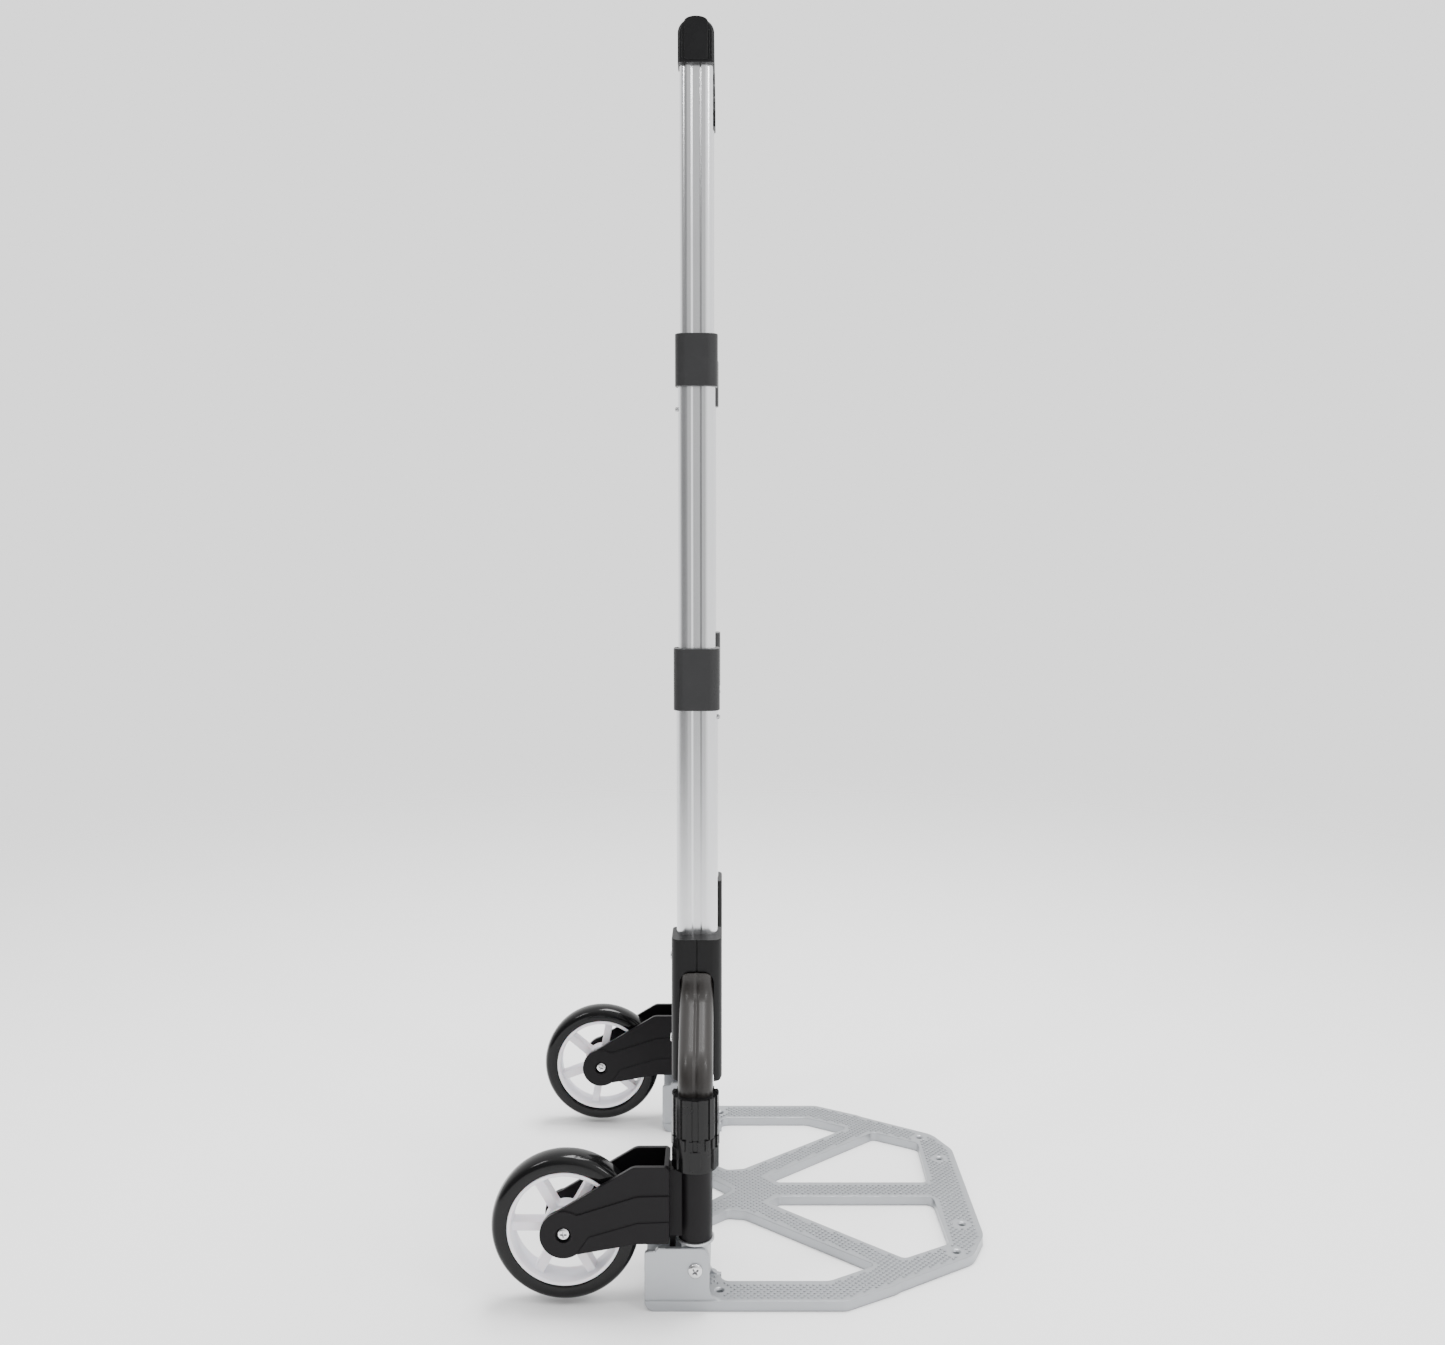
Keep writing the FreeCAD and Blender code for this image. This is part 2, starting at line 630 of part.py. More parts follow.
def make_clamp_ring():
    """Lower ring of the clamp: bored for the post below, oval for the leg above."""
    ring = rod(clamp_ring_radius, 0, post_y, ring_bottom, clamp_ring_height)
    ribs = clamp_ribs(clamp_ring_radius, ring_bottom + 2.0, ring_top - 9.0, 6, 9.0, 30.0)
    ribs += clamp_ribs(clamp_ring_radius, ring_top - 9.0, ring_top, 18, 3.2, 0.0)
    ring = ring.multiFuse(ribs)
    ring = ring.cut(rod(post_radius + snug, 0, post_y, ring_bottom - 1, clamp_ring_height))
    seat = capsule(leg_width + 2 * snug, leg_depth + 2 * snug, 0, post_y, leg_end, ring_top + 1)
    return ring.cut(seat).removeSplitter()


def make_clamp_sleeve():
    """Upper sleeve of the clamp with its ribs, closed round the leg."""
    base = ring_top + snug
    sleeve = rod(clamp_sleeve_radius, 0, post_y, base, sleeve_top - base - 1.0)
    ribs = clamp_ribs(clamp_sleeve_radius, base, sleeve_top, clamp_rib_count, clamp_rib_width, 15.0)
    sleeve = sleeve.multiFuse(ribs)
    seat = capsule(leg_width + 2 * snug, leg_depth + 2 * snug, 0, post_y, base - 1, sleeve_top + 1)
    return sleeve.cut(seat).removeSplitter()


def leg_path():
    """Centre line of the left leg, from its top down: straight, bend, slope, bend, straight."""
    half = math.radians(leg_angle) / 2
    mid_side = leg_bend_radius * (1 - math.cos(half))
    mid_drop = leg_bend_radius * math.sin(half)
    p = [
        (leg_upper_y, leg_top), (leg_upper_y, leg_upper_bend),
        (leg_upper_y + mid_side, leg_upper_bend - mid_drop),
        (leg_upper_y + leg_bend_side, leg_upper_bend - leg_bend_drop),
        (post_y - leg_bend_side, sleeve_top + leg_bend_drop),
        (post_y - mid_side, sleeve_top + mid_drop),
        (post_y, sleeve_top), (post_y, leg_end + snug),
    ]
    q = [V(0, y, z) for y, z in p]
    return Part.Wire([
        Part.makeLine(q[0], q[1]), Part.Arc(q[1], q[2], q[3]).toShape(), Part.makeLine(q[3], q[4]),
        Part.Arc(q[4], q[5], q[6]).toShape(), Part.makeLine(q[6], q[7]),
    ])


def swept_leg(inset):
    """The leg's creased oval section, made smaller all round, swept down its path."""
    path = leg_path()
    top = path.OrderedVertexes[0].Point
    a = leg_width / 2 - inset
    b = leg_depth / 2 - inset
    w = leg_crease_half_width
    side = [(a, b, b), (w, b, 2.0), (0, b - leg_crease, 1.0), (-w, b, 2.0), (-a, b, b)]
    corners = side + [(-u, -v, r) for u, v, r in side]
    section = rounded_wire(corners, lambda p: V(p.x, top.y + p.y, top.z))
    return path.makePipeShell([section], True, False)


def make_leg():
    """S-bent oval steel tube from the lower bracket out to the post."""
    outside = swept_leg(0.0)
    inside = swept_leg(leg_wall)
    half = leg_width / 2
    rounding = slab_xz([(-half, leg_end, 0), (half, leg_end, 0), (half, leg_top, leg_top_corner),
                        (-half, leg_top, leg_top_corner)], 0, plate_width)
    return outside.cut(inside).common(rounding)


# ---- lower bracket and the two collars --------------------------------------------------
def make_bracket_half():
    top = bracket_bottom + bracket_height
    half = bracket_width / 2
    inner = upright_y - tube_depth / 2 - bracket_wall
    outer = leg_upper_y + leg_depth / 2 - leg_flange
    c = bracket_corner
    body = slab_xy([(-half, inner, 5), (half, inner, 5), (half, outer, c), (-half, outer, c)],
                   bracket_bottom, top)
    ends = slab_xz([(-half, bracket_bottom, 4.0), (half, bracket_bottom, 4.0), (half, top, 1.2),
                    (-half, top, 1.2)], inner, outer)
    body = body.common(ends)
    crease = rounded_wire([(-bracket_crease, outer, 0), (0, outer - bracket_crease, 0),
                           (bracket_crease, outer, 0)], lambda p: V(p.x, p.y, leg_top))
    body = body.cut(Part.Face(crease).extrude(V(0, 0, top - leg_top + 1)))
    seat_half = leg_width / 2 + snug
    recess_in = leg_upper_y - leg_depth / 2 - snug
    recess_top = leg_top + snug
    recess = slab_xz([(-seat_half, bracket_bottom - 5, 0), (seat_half, bracket_bottom - 5, 0),
                      (seat_half, recess_top, leg_top_corner), (-seat_half, recess_top, leg_top_corner)],
                     recess_in, outer + 5.0)
    body = body.cut(recess)
    bore = upright_section(-snug, snug, lower_tube_bottom, top + 1)
    bore.translate(V(0, upright_y, 0))
    return body.cut(bore)


def make_lower_bracket():
    """One moulding: a socket for each upright and leg, and the panel between them."""
    half = make_bracket_half()
    top = bracket_bottom + bracket_height - bracket_panel_drop
    reach = upright_y - tube_depth / 2 - bracket_wall + 2.0
    low = bracket_bottom + 6.0
    crown = low + bracket_panel_arch
    t = bracket_panel_thickness / 2
    arch = Part.Arc(V(-t, -reach, low), V(-t, 0, crown), V(-t, reach, low)).toShape()
    sides = Part.makePolygon([V(-t, reach, low), V(-t, reach, top), V(-t, -reach, top), V(-t, -reach, low)])
    panel = Part.Face(Part.Wire([arch] + sides.Edges)).extrude(V(2 * t, 0, 0))
    body = half.fuse(mirrored(half)).fuse(panel)
    for x, y, z in bracket_screw_places():
        body = body.cut(rod(screw_shank_radius, x, y, z, screw_shank_length + 0.1, V(1, 0, 0)))
    return body.removeSplitter()


def bracket_screw_places():
    """Under-head points of the screws in the back of the lower bracket."""
    back = -bracket_width / 2
    heights = (bracket_bottom + bracket_screw_low, bracket_bottom + bracket_height - bracket_screw_high)
    return [(back, side * upright_y, z) for side in (-1, 1) for z in heights]


def make_bracket_screws():
    return Part.Compound([pan_screw(x, y, z, V(-1, 0, 0)) for x, y, z in bracket_screw_places()])


def make_collar(width, depth, bottom, height, inset):
    """A collar on each upright joined by a waisted bridge, in one moulding."""
    top = bottom + height
    sleeve = rounded_block(width, depth, collar_corner, bottom, top, upright_y)
    rim = [e for e in sleeve.Edges if min(abs(e.CenterOfMass.z - z) for z in (top, bottom)) < 1e-3]
    sleeve = sleeve.makeFillet(0.8, rim)
    reach = upright_y - depth / 2 + 1.0
    waist = height * (1 - bridge_waist) / 2
    t = bridge_thickness / 2
    upper = Part.Arc(V(-t, -reach, top - 2), V(-t, 0, top - waist), V(-t, reach, top - 2)).toShape()
    lower = Part.Arc(V(-t, -reach, bottom + 2), V(-t, 0, bottom + waist), V(-t, reach, bottom + 2)).toShape()
    ends = [Part.makeLine(V(-t, s * reach, bottom + 2), V(-t, s * reach, top - 2)) for s in (-1, 1)]
    outline = Part.Wire(Part.__sortEdges__([upper, lower] + ends))
    bridge = Part.Face(outline).extrude(V(2 * t, 0, 0))
    seat = upright_section(inset - snug, snug, bottom - 1, top - collar_lip + snug)
    mouth = upright_section(inset + middle_inset - slide_gap, slide_gap, bottom - 1, top + 1)
    bore = seat.fuse(mouth)
    bore.translate(V(0, upright_y, 0))
    body = sleeve.fuse(mirrored(sleeve)).fuse(bridge)
    return body.cut(bore).cut(mirrored(bore)).removeSplitter()


def keyway():
    """Clears the upper button where the middle tube slides down into the lower one."""
    tip = tube_width / 2 - middle_inset + button_proud + keyway_clearance
    low = upper_button_z - middle_travel - button_radius - keyway_clearance
    return box(-tip, -tube_width / 4, upright_y - keyway_half_width, upright_y + keyway_half_width,
               low, lower_collar_top + 1)


def make_lower_collar():
    collar = make_collar(lower_collar_width, lower_collar_depth, lower_collar_bottom,
                         lower_collar_height, 0.0)
    return collar.cut(keyway()).cut(mirrored(keyway()))


def make_upper_collar():
    return make_collar(upper_collar_width, upper_collar_depth, upper_collar_bottom,
                       upper_collar_height, middle_inset)


# ---- uprights, left side ------------------------------------------------------------------
def make_lower_tube():
    tube = upright_tube(0.0, lower_tube_bottom + snug, lower_tube_top)
    hole = rod(button_radius + button_hole_clearance, 0, 0, lower_button_z, tube_width, V(1, 0, 0))
    tube = tube.cut(hole)
    tube.translate(V(0, upright_y, 0))
    return tube.cut(keyway())


def make_middle_tube():
    tube = upright_tube(middle_inset, middle_tube_bottom, middle_tube_top)
    catch = rod(catch_hole_radius, 0, 0, lower_button_z, tube_width, V(1, 0, 0))
    hole = rod(button_radius + button_hole_clearance, 0, 0, upper_button_z, tube_width, V(-1, 0, 0))
    tube = tube.cut(catch).cut(hole)
    tube.translate(V(0, upright_y, 0))
    return tube


def make_upper_tube():
    tube = upright_tube(upper_inset, upper_tube_bottom, upper_tube_top - snug)
    tube = tube.cut(rod(catch_hole_radius, 0, 0, upper_button_z, tube_width, V(-1, 0, 0)))
    tube.translate(V(0, upright_y, 0))
    return tube


def make_glide(inset, bottom):
    """Plastic foot of a sliding tube: a plug inside it and a shoe below it."""
    plug = oval_section(inset + tube_wall + snug, bottom - 1.0, bottom + glide_plug)
    shoe = oval_section(inset - tube_step + side_gap, bottom - glide_shoe, bottom - snug)
    foot = plug.fuse(shoe).removeSplitter()
    foot.translate(V(0, upright_y, 0))
    return foot


def make_button(inset, z, side):
    """Round-nosed snap button in the tube's front (+1) or back (-1) wall."""
    face = tube_width / 2 - inset
    start = face - tube_wall - button_reach_in
    tip = face + button_proud
    body = rod(button_radius, start, 0, z, tip - start, V(1, 0, 0))
    nose = [e for e in body.Edges if abs(e.CenterOfMass.x - tip) < 1e-3]
    body = body.makeFillet(button_radius * 0.6, nose)
    if side < 0:
        body.rotate(V(0, 0, z), V(0, 0, 1), 180)
    body.translate(V(0, upright_y, 0))
    return body


# ---- grip ------------------------------------------------------------------------------------
def make_grip():
    """Moulded handle: a socket on each upper tube and a waved bar between them."""
    reach = upright_y + grip_end_reach
    half = grip_width / 2
    body = slab_xz([(-half, grip_bottom, 0), (half, grip_bottom, 0),
                    (half, grip_top, grip_crown_radius), (-half, grip_top, grip_crown_radius)],
                   -reach, reach)
    ends = [e for e in body.Edges if abs(abs(e.CenterOfMass.y) - reach) < 1e-3
            and e.CenterOfMass.z > grip_bottom + 1]
    body = body.makeFillet(grip_edge, ends)
    inner = upright_y - grip_socket_wall_inside
    points = [V(-half - 1, -inner, grip_bottom - 1), V(-half - 1, -inner, grip_bottom + grip_arch / 2)]
    span = inner - 8.0
    steps = grip_wave_count * 8
    for i in range(steps + 1):
        y = -span + 2 * span * i / steps
        wave = grip_wave * math.cos(2 * math.pi * grip_wave_count * i / steps)
        points.append(V(-half - 1, y, grip_bottom + grip_arch + wave))
    points += [V(-half - 1, inner, grip_bottom + grip_arch / 2), V(-half - 1, inner, grip_bottom - 1)]
    curve = Part.BSplineCurve()
    curve.interpolate(points[2:-2])
    edges = [Part.makeLine(points[0], points[1]), Part.makeLine(points[1], points[2]), curve.toShape(),
             Part.makeLine(points[-3], points[-2]), Part.makeLine(points[-2], points[-1]),
             Part.makeLine(points[-1], points[0])]
    hollow = Part.Face(Part.Wire(edges)).extrude(V(grip_width + 2, 0, 0))
    body = body.cut(hollow)
    for side in (-1, 1):
        socket = upright_section(upper_inset - snug, snug, grip_bottom - 1, upper_tube_top)
        socket.translate(V(0, side * upright_y, 0))
        body = body.cut(socket)
        y = side * grip_screw_y
        well = rod(screw_head_radius + 0.4, 0, y, grip_bottom, grip_screw_z - grip_bottom)
        shank = rod(screw_shank_radius, 0, y, grip_screw_z - 1, screw_shank_length + 1.1)
        body = body.cut(well).cut(shank)
    return body.removeSplitter()


def make_grip_screws():
    return Part.Compound([pan_screw(0, s * grip_screw_y, grip_screw_z, V(0, 0, -1)) for s in (-1, 1)])


# ---- export ------------------------------------------------------------------------------------
def export(name, shape):
    """Write one node's STEP file, moved to the truck's own frame."""
    placed = shape.copy()
    placed.translate(V(hinge_x, 0, 0))
    if not placed.isValid():
        print("not valid:", name)
    placed.exportStep("parts/" + name + ".step")
    print(name, len(placed.Solids), round(placed.Volume))


def export_pair(name, shape):
    """Write a left piece and its mirror image on the right."""
    export(name + "_left", shape)
    export(name + "_right", mirrored(shape))


def main():
    os.makedirs("parts", exist_ok=True)
    export("toe_plate", make_toe_plate())
    export_pair("hinge_bolt", make_hinge_bolt())
    export_pair("hinge_nut", make_hinge_nut())
    export_pair("hinge_block", make_hinge_block())
    export_pair("pivot_post", make_post())
    export_pair("clamp_ring", make_clamp_ring())
    export_pair("clamp_sleeve", make_clamp_sleeve())
    export_pair("leg_tube", make_leg())
    export("lower_bracket", make_lower_bracket())
    export("bracket_screws", make_bracket_screws())
    export_pair("wheel_arm", make_wheel_arm())
    export_pair("fold_dog", make_fold_dog())
    export_pair("axle_bolt", make_axle_bolt())
    export_pair("axle_nut", make_axle_nut())
    export_pair("tyre", make_tyre())
    export("wheel_hub_left", make_hub(spoke_turn_left))
    export("wheel_hub_right", mirrored(make_hub(spoke_turn_right)))
    export_pair("wheel_bushes", make_wheel_bushes())
    export_pair("lower_tube", make_lower_tube())
    export("lower_collar", make_lower_collar())
    export_pair("lower_button", make_button(0.0, lower_button_z, 1))
    export_pair("middle_tube", make_middle_tube())
    export_pair("middle_glide", make_glide(middle_inset, middle_tube_bottom))
    export("upper_collar", make_upper_collar())
    export_pair("upper_button", make_button(middle_inset, upper_button_z, -1))
    export_pair("upper_tube", make_upper_tube())
    export_pair("upper_glide", make_glide(upper_inset, upper_tube_bottom))
    export("grip", make_grip())
    export("grip_screws", make_grip_screws())
    print("hinge at X", round(hinge_x, 2), "height", round(grip_top, 1))


main()
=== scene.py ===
"""Folding hand truck: finishes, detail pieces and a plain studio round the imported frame."""

import json
import math

import bmesh
import bpy
from bpy.props import FloatProperty, FloatVectorProperty, IntProperty, PointerProperty
from bpy.types import Operator, Panel, PropertyGroup
from mathutils import Matrix, Vector


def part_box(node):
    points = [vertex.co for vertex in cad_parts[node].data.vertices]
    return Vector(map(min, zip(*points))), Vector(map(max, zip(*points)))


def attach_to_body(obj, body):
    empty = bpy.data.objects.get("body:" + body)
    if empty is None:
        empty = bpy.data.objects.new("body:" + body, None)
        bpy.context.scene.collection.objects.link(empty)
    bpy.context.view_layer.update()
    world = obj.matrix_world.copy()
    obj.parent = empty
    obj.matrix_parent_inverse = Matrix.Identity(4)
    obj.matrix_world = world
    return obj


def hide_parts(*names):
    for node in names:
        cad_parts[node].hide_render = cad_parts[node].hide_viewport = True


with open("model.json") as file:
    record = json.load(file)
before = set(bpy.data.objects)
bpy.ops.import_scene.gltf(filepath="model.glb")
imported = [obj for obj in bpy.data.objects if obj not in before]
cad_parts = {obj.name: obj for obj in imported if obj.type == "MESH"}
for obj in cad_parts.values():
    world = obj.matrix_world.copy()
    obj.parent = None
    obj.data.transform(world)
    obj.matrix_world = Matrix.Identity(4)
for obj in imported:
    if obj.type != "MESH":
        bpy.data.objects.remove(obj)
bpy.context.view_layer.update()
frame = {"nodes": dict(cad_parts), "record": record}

bl_info = {
    "name": "Folding hand truck",
    "version": (1, 0, 0),
    "blender": (4, 5, 0),
    "location": "View3D > Sidebar > Hand truck",
    "description": "Builds the finishes and detail pieces of a folding hand truck",
    "category": "Add Mesh",
}

SIDES = ("left", "right")
NODES = frame["nodes"]

# Small fixed details, in metres unless they are shares or counts
TREAD_DEPTH = 0.0068    # from the bulge of the tread down to the tyre's shoulders
TREAD_FULLNESS = 0.62   # how round the tread is; 1 is a plain ellipse
SIDE_FULLNESS = 0.85    # how round the side walls are; 1 is a plain ellipse
RIM_WAIST = 0.0012      # how much thicker the rim is between its lips
RIM_LIP = 0.0040        # width of a lip
RIM_SLOPE = 0.0065      # where the thick part starts, from the rim's side
RIM_LEDGE = 0.0016      # how far the spoked web reaches inside the rim before its openings start
WEB_BEVEL = 0.0007      # bevel along the spokes
BOSS_RADIUS = 0.011     # boss in the middle of a hub
BUSH_BORE = 0.0066      # bore of the boss, round the bushes
WHEEL_STEPS = 128       # sides of a tyre and of its rim
WEB_STEPS = 96          # sides of the web's outline
BOSS_STEPS = 64         # sides of a boss
SHANK_RADIUS = 0.004    # visible shank of the hinge and axle bolts
SHANK_INSET = 0.0028    # how far a shank ends inside its heads
SHANK_STEPS = 32        # sides of a shank
HEAD_SINK = 0.5         # how deep a head sits in its node, over the head's radius
HEAD_SPIN = 1.1         # turn from one cross recess to the next, in radians
CAP_DEPTH = 0.004       # how far the grip's end panels reach into the grip
CAP_FOOT = 0.0022       # bottom of an end panel above the grip's underside
CAP_BEVEL = 0.0003      # bevel round an end panel
RIB_RISE = 0.0004       # how far the ribs beside an end panel stand out
DOT_TAPER = 0.55        # top of a raised dot over its foot
DOT_STAGGER = 1.42      # distance between two dots of a row, over a dot's length
DOT_DROP = 0.05         # height from which the dots are dropped onto the plate
FRONT_STRIP = 0.02      # depth of the strip at the plate's front where the height of its top is read
LEVEL_ERROR = 0.00005   # faces this close to the plate's top count as its top
WELD = 0.00002          # corners closer than this are one


def length(name, description, default):
    """A length property in metres."""
    return FloatProperty(name=name, description=description, default=default, unit="LENGTH", precision=5)


def colour(name, description, default):
    """A linear colour property."""
    return FloatVectorProperty(name=name, description=description, default=default, subtype="COLOR",
                               size=3, min=0.0, max=1.0)


class HANDTRUCK_PG_sizes(PropertyGroup):
    """Sizes of the pieces that are modelled here."""

    tyre_crown: length("Tyre crown", "How far the tread bulges above its shoulders", 0.0035)
    rim_thickness: length("Rim thickness", "Thickness of the hub's outer ring", 0.0030)
    spoke_width: length("Spoke width", "Width of a spoke", 0.0066)
    spoke_count: IntProperty(name="Spokes", description="Spokes of a wheel", default=6, min=3, max=12)
    window_inner: length("Window inner radius", "Where the openings between the spokes start", 0.0178)
    window_corner: length("Window corner", "Corner radius of the openings between the spokes", 0.0026)
    spoke_half_depth: length("Spoke half depth", "Half the thickness of the spoked web", 0.0070)
    dot_pitch: length("Dot pitch", "Distance between the rows of raised dots on the plate", 0.0033)
    dot_length: length("Dot length", "Length of a raised dot along its row", 0.0040)
    dot_width: length("Dot width", "Width of a raised dot", 0.0021)
    dot_height: length("Dot height", "Height of a raised dot", 0.0009)
    dot_margin: length("Plain border", "Plain border left along the plate's edges", 0.0042)
    edge_round: length("Edge rounding", "Rounding of moulded edges", 0.0009)
    cap_width: length("Cap width", "Width of the raised panel on the grip's ends", 0.0205)
    cap_rise: length("Cap rise", "How far that panel stands out", 0.0009)
    cap_crown: length("Cap crown", "How far that panel's rounded top falls towards its sides", 0.0046)
    recess_share: FloatProperty(name="Recess share", description="Cross recess over head radius",
                                default=0.56, min=0.2, max=0.8)


class HANDTRUCK_PG_colours(PropertyGroup):
    """Base colours of the finishes."""

    aluminium: colour("Aluminium", "Drawn tubes", (0.74, 0.745, 0.76))
    plate: colour("Plate", "Toe plate and its ears", (0.37, 0.382, 0.40))
    cast: colour("Casting", "Hinge blocks", (0.50, 0.51, 0.52))
    chrome: colour("Screws", "Plated screws", (0.66, 0.66, 0.67))
    steel: colour("Steel", "Posts and buttons", (0.42, 0.42, 0.43))
    leg: colour("Leg paint", "Powder coat of the leg tubes", (0.015, 0.0132, 0.0122))
    bracket: colour("Bracket", "Lower bracket", (0.008, 0.008, 0.0083))
    collar: colour("Collar", "Cross collars", (0.034, 0.034, 0.035))
    grip: colour("Grip", "Grip moulding", (0.011, 0.011, 0.0116))
    arm: colour("Wheel arm", "Forked wheel arms", (0.0050, 0.0044, 0.0052))
    clamp: colour("Clamp", "Clamps on the posts", (0.004, 0.004, 0.0043))
    hub: colour("Hub", "Spoked hubs", (0.88, 0.85, 0.90))
    tyre: colour("Tyre", "Tyres", (0.004, 0.004, 0.0042))
    hidden: colour("Bushes", "Bushes and sliding feet", (0.045, 0.045, 0.045))
    floor: colour("Floor", "Studio floor", (0.90, 0.90, 0.90))


# ---- shader building ---------------------------------------------------------
class Value:
    """A shader socket that can be used in arithmetic."""

    def __init__(self, shader, socket):
        self.shader = shader
        self.socket = socket

    def maths(self, operation, a, b=None, clamp=False):
        inputs = {0: a} if b is None else {0: a, 1: b}
        return self.shader.node("ShaderNodeMath", {"operation": operation, "use_clamp": clamp}, inputs)

    def __add__(self, other):
        return self.maths("ADD", self, other)

    def __sub__(self, other):
        return self.maths("SUBTRACT", self, other)

    def __rsub__(self, other):
        return self.maths("SUBTRACT", other, self)

    def __mul__(self, other):
        return self.maths("MULTIPLY", self, other)

    def __truediv__(self, other):
        return self.maths("DIVIDE", self, other)

    def __rtruediv__(self, other):
        return self.maths("DIVIDE", other, self)

    __radd__ = __add__
    __rmul__ = __mul__

    def limited(self):
        return self.maths("ADD", self, 0.0, clamp=True)


class Shader:
    """A material's node tree, built node by node."""

    def __init__(self, name):
        self.material = bpy.data.materials.new(name)
        self.material.use_nodes = True
        self.tree = self.material.node_tree
        self.bsdf = self.tree.nodes["Principled BSDF"]
        self.place = self.node("ShaderNodeTexCoord", output="Object")

    def link(self, value, socket):
        if isinstance(value, Value):
            self.tree.links.new(value.socket, socket)
        else:
            socket.default_value = value

    def node(self, kind, settings=None, inputs=None, output=0):
        """Add a node: its settings first, then the values or links of its sockets."""
        node = self.tree.nodes.new(kind)
        for key, setting in (settings or {}).items():
            setattr(node, key, setting)
        for key, value in (inputs or {}).items():
            self.link(value, node.inputs[key])
        return Value(self, node.outputs[output])

    def stretched(self, scale):
        """Object coordinates scaled on each axis."""
        inputs = {"Vector": self.place, "Scale": scale}
        return self.node("ShaderNodeMapping", {"vector_type": "POINT"}, inputs, "Vector")

    def noise(self, scale, detail=3.0, roughness=0.5, vector=None):
        """Noise with its grain in cells per metre."""
        inputs = {"Vector": vector or self.place, "Scale": scale, "Detail": detail, "Roughness": roughness}
        return self.node("ShaderNodeTexNoise", {}, inputs, "Fac")

    def mix(self, factor, a, b):
        """A colour between a and b."""
        inputs = {"Factor": factor, 6: (*a, 1.0), 7: (*b, 1.0)}
        return self.node("ShaderNodeMix", {"data_type": "RGBA"}, inputs, 2)

    def bump(self, height, distance, strength=1.0, normal=None):
        inputs = {"Height": height, "Distance": distance, "Strength": strength}
        if normal is not None:
            inputs["Normal"] = normal
        return self.node("ShaderNodeBump", {}, inputs, "Normal")

    def rounded(self, radius):
        """A normal that rounds sharp edges."""
        return self.node("ShaderNodeBevel", {"samples": 6}, {"Radius": radius}, "Normal")

    def surface(self, **sockets):
        """Set or link the sockets of the surface shader; underscores stand for spaces."""
        for key, value in sockets.items():
            self.link(value, self.bsdf.inputs[key.replace("_", " ")])
        return self.material


def shade(rgb, factor):
    """A colour made lighter or darker."""
    return tuple(min(1.0, c * factor) for c in rgb)


def drawn_aluminium(name, rgb):
    """Anodised tube, with fine lines drawn along its length."""
    s = Shader(name)
    lines = s.noise(1.0, 2.0, 0.6, s.stretched((2600.0, 2600.0, 9.0)))
    cloud = s.noise(26.0, 2.0)
    handling = s.noise(9.0, 4.0, 0.6)
    marks = s.noise(1.0, 1.0, 0.5, s.stretched((300.0, 300.0, 40.0)))
    normal = s.bump(lines * 0.75 + marks * 0.25, 0.00002, 0.15, s.rounded(0.0004))
    return s.surface(
        Base_Color=s.mix(cloud * 0.5 + lines * 0.5, shade(rgb, 0.955), shade(rgb, 1.03)),
        Metallic=0.96, Roughness=0.15 + lines * 0.08 + handling * 0.05, Normal=normal,
    )


def silvered_metal(name, rgb, grain, roughness, metallic, edge):
    """Satin silver surface with a fine grain, slightly brighter rubbed patches and rounded edges."""
    s = Shader(name)
    fine = s.noise(grain, 3.0, 0.6)
    cloud = s.noise(14.0, 3.0, 0.55)
    rub = s.noise(70.0, 5.0, 0.7)
    scuffs = s.noise(1.0, 2.0, 0.6, s.stretched((40.0, 900.0, 40.0)))
    worn = ((rub - 0.62) * 6.0).limited()
    normal = s.bump(fine * 0.7 + scuffs * 0.3, 0.00005, 0.30, s.rounded(edge))
    return s.surface(
        Base_Color=s.mix(cloud * 0.6 + worn * 0.4, shade(rgb, 0.94), shade(rgb, 1.10)),
        Metallic=metallic, Roughness=roughness + fine * 0.10 + worn * 0.08 - cloud * 0.05, Normal=normal,
    )


def plated_steel(name, rgb, roughness):
    """Plated or turned steel, faintly marked."""
    s = Shader(name)
    marks = s.noise(900.0, 4.0, 0.65)
    smear = s.noise(180.0, 2.0)
    return s.surface(
        Base_Color=s.mix(smear, shade(rgb, 0.90), shade(rgb, 1.06)), Metallic=1.0,
        Roughness=roughness + marks * 0.12, Normal=s.bump(marks, 0.00002, 0.4),
    )


def moulded_plastic(name, rgb, grain, depth, roughness, edge, lift=1.35):
    """Moulded plastic: spark-eroded grain, soft colour drift, lighter rubbed patches."""
    s = Shader(name)
    fine = s.noise(grain, 2.0, 0.7)
    cloud = s.noise(22.0, 3.0, 0.6)
    dust = s.noise(420.0, 6.0, 0.75)
    rubbed = ((s.noise(38.0, 4.0, 0.6) - 0.55) * 4.0).limited()
    speck = ((dust - 0.66) * 7.0).limited() * 0.35
    normal = s.bump(fine, depth, 0.5, s.rounded(edge))
    return s.surface(
        Base_Color=s.mix((cloud * 0.5 + rubbed * 0.3 + speck).limited(), shade(rgb, 0.88), shade(rgb, lift)),
        Roughness=roughness + fine * 0.08 + rubbed * 0.07 - cloud * 0.04, Normal=normal,
        Specular_IOR_Level=0.15,
    )


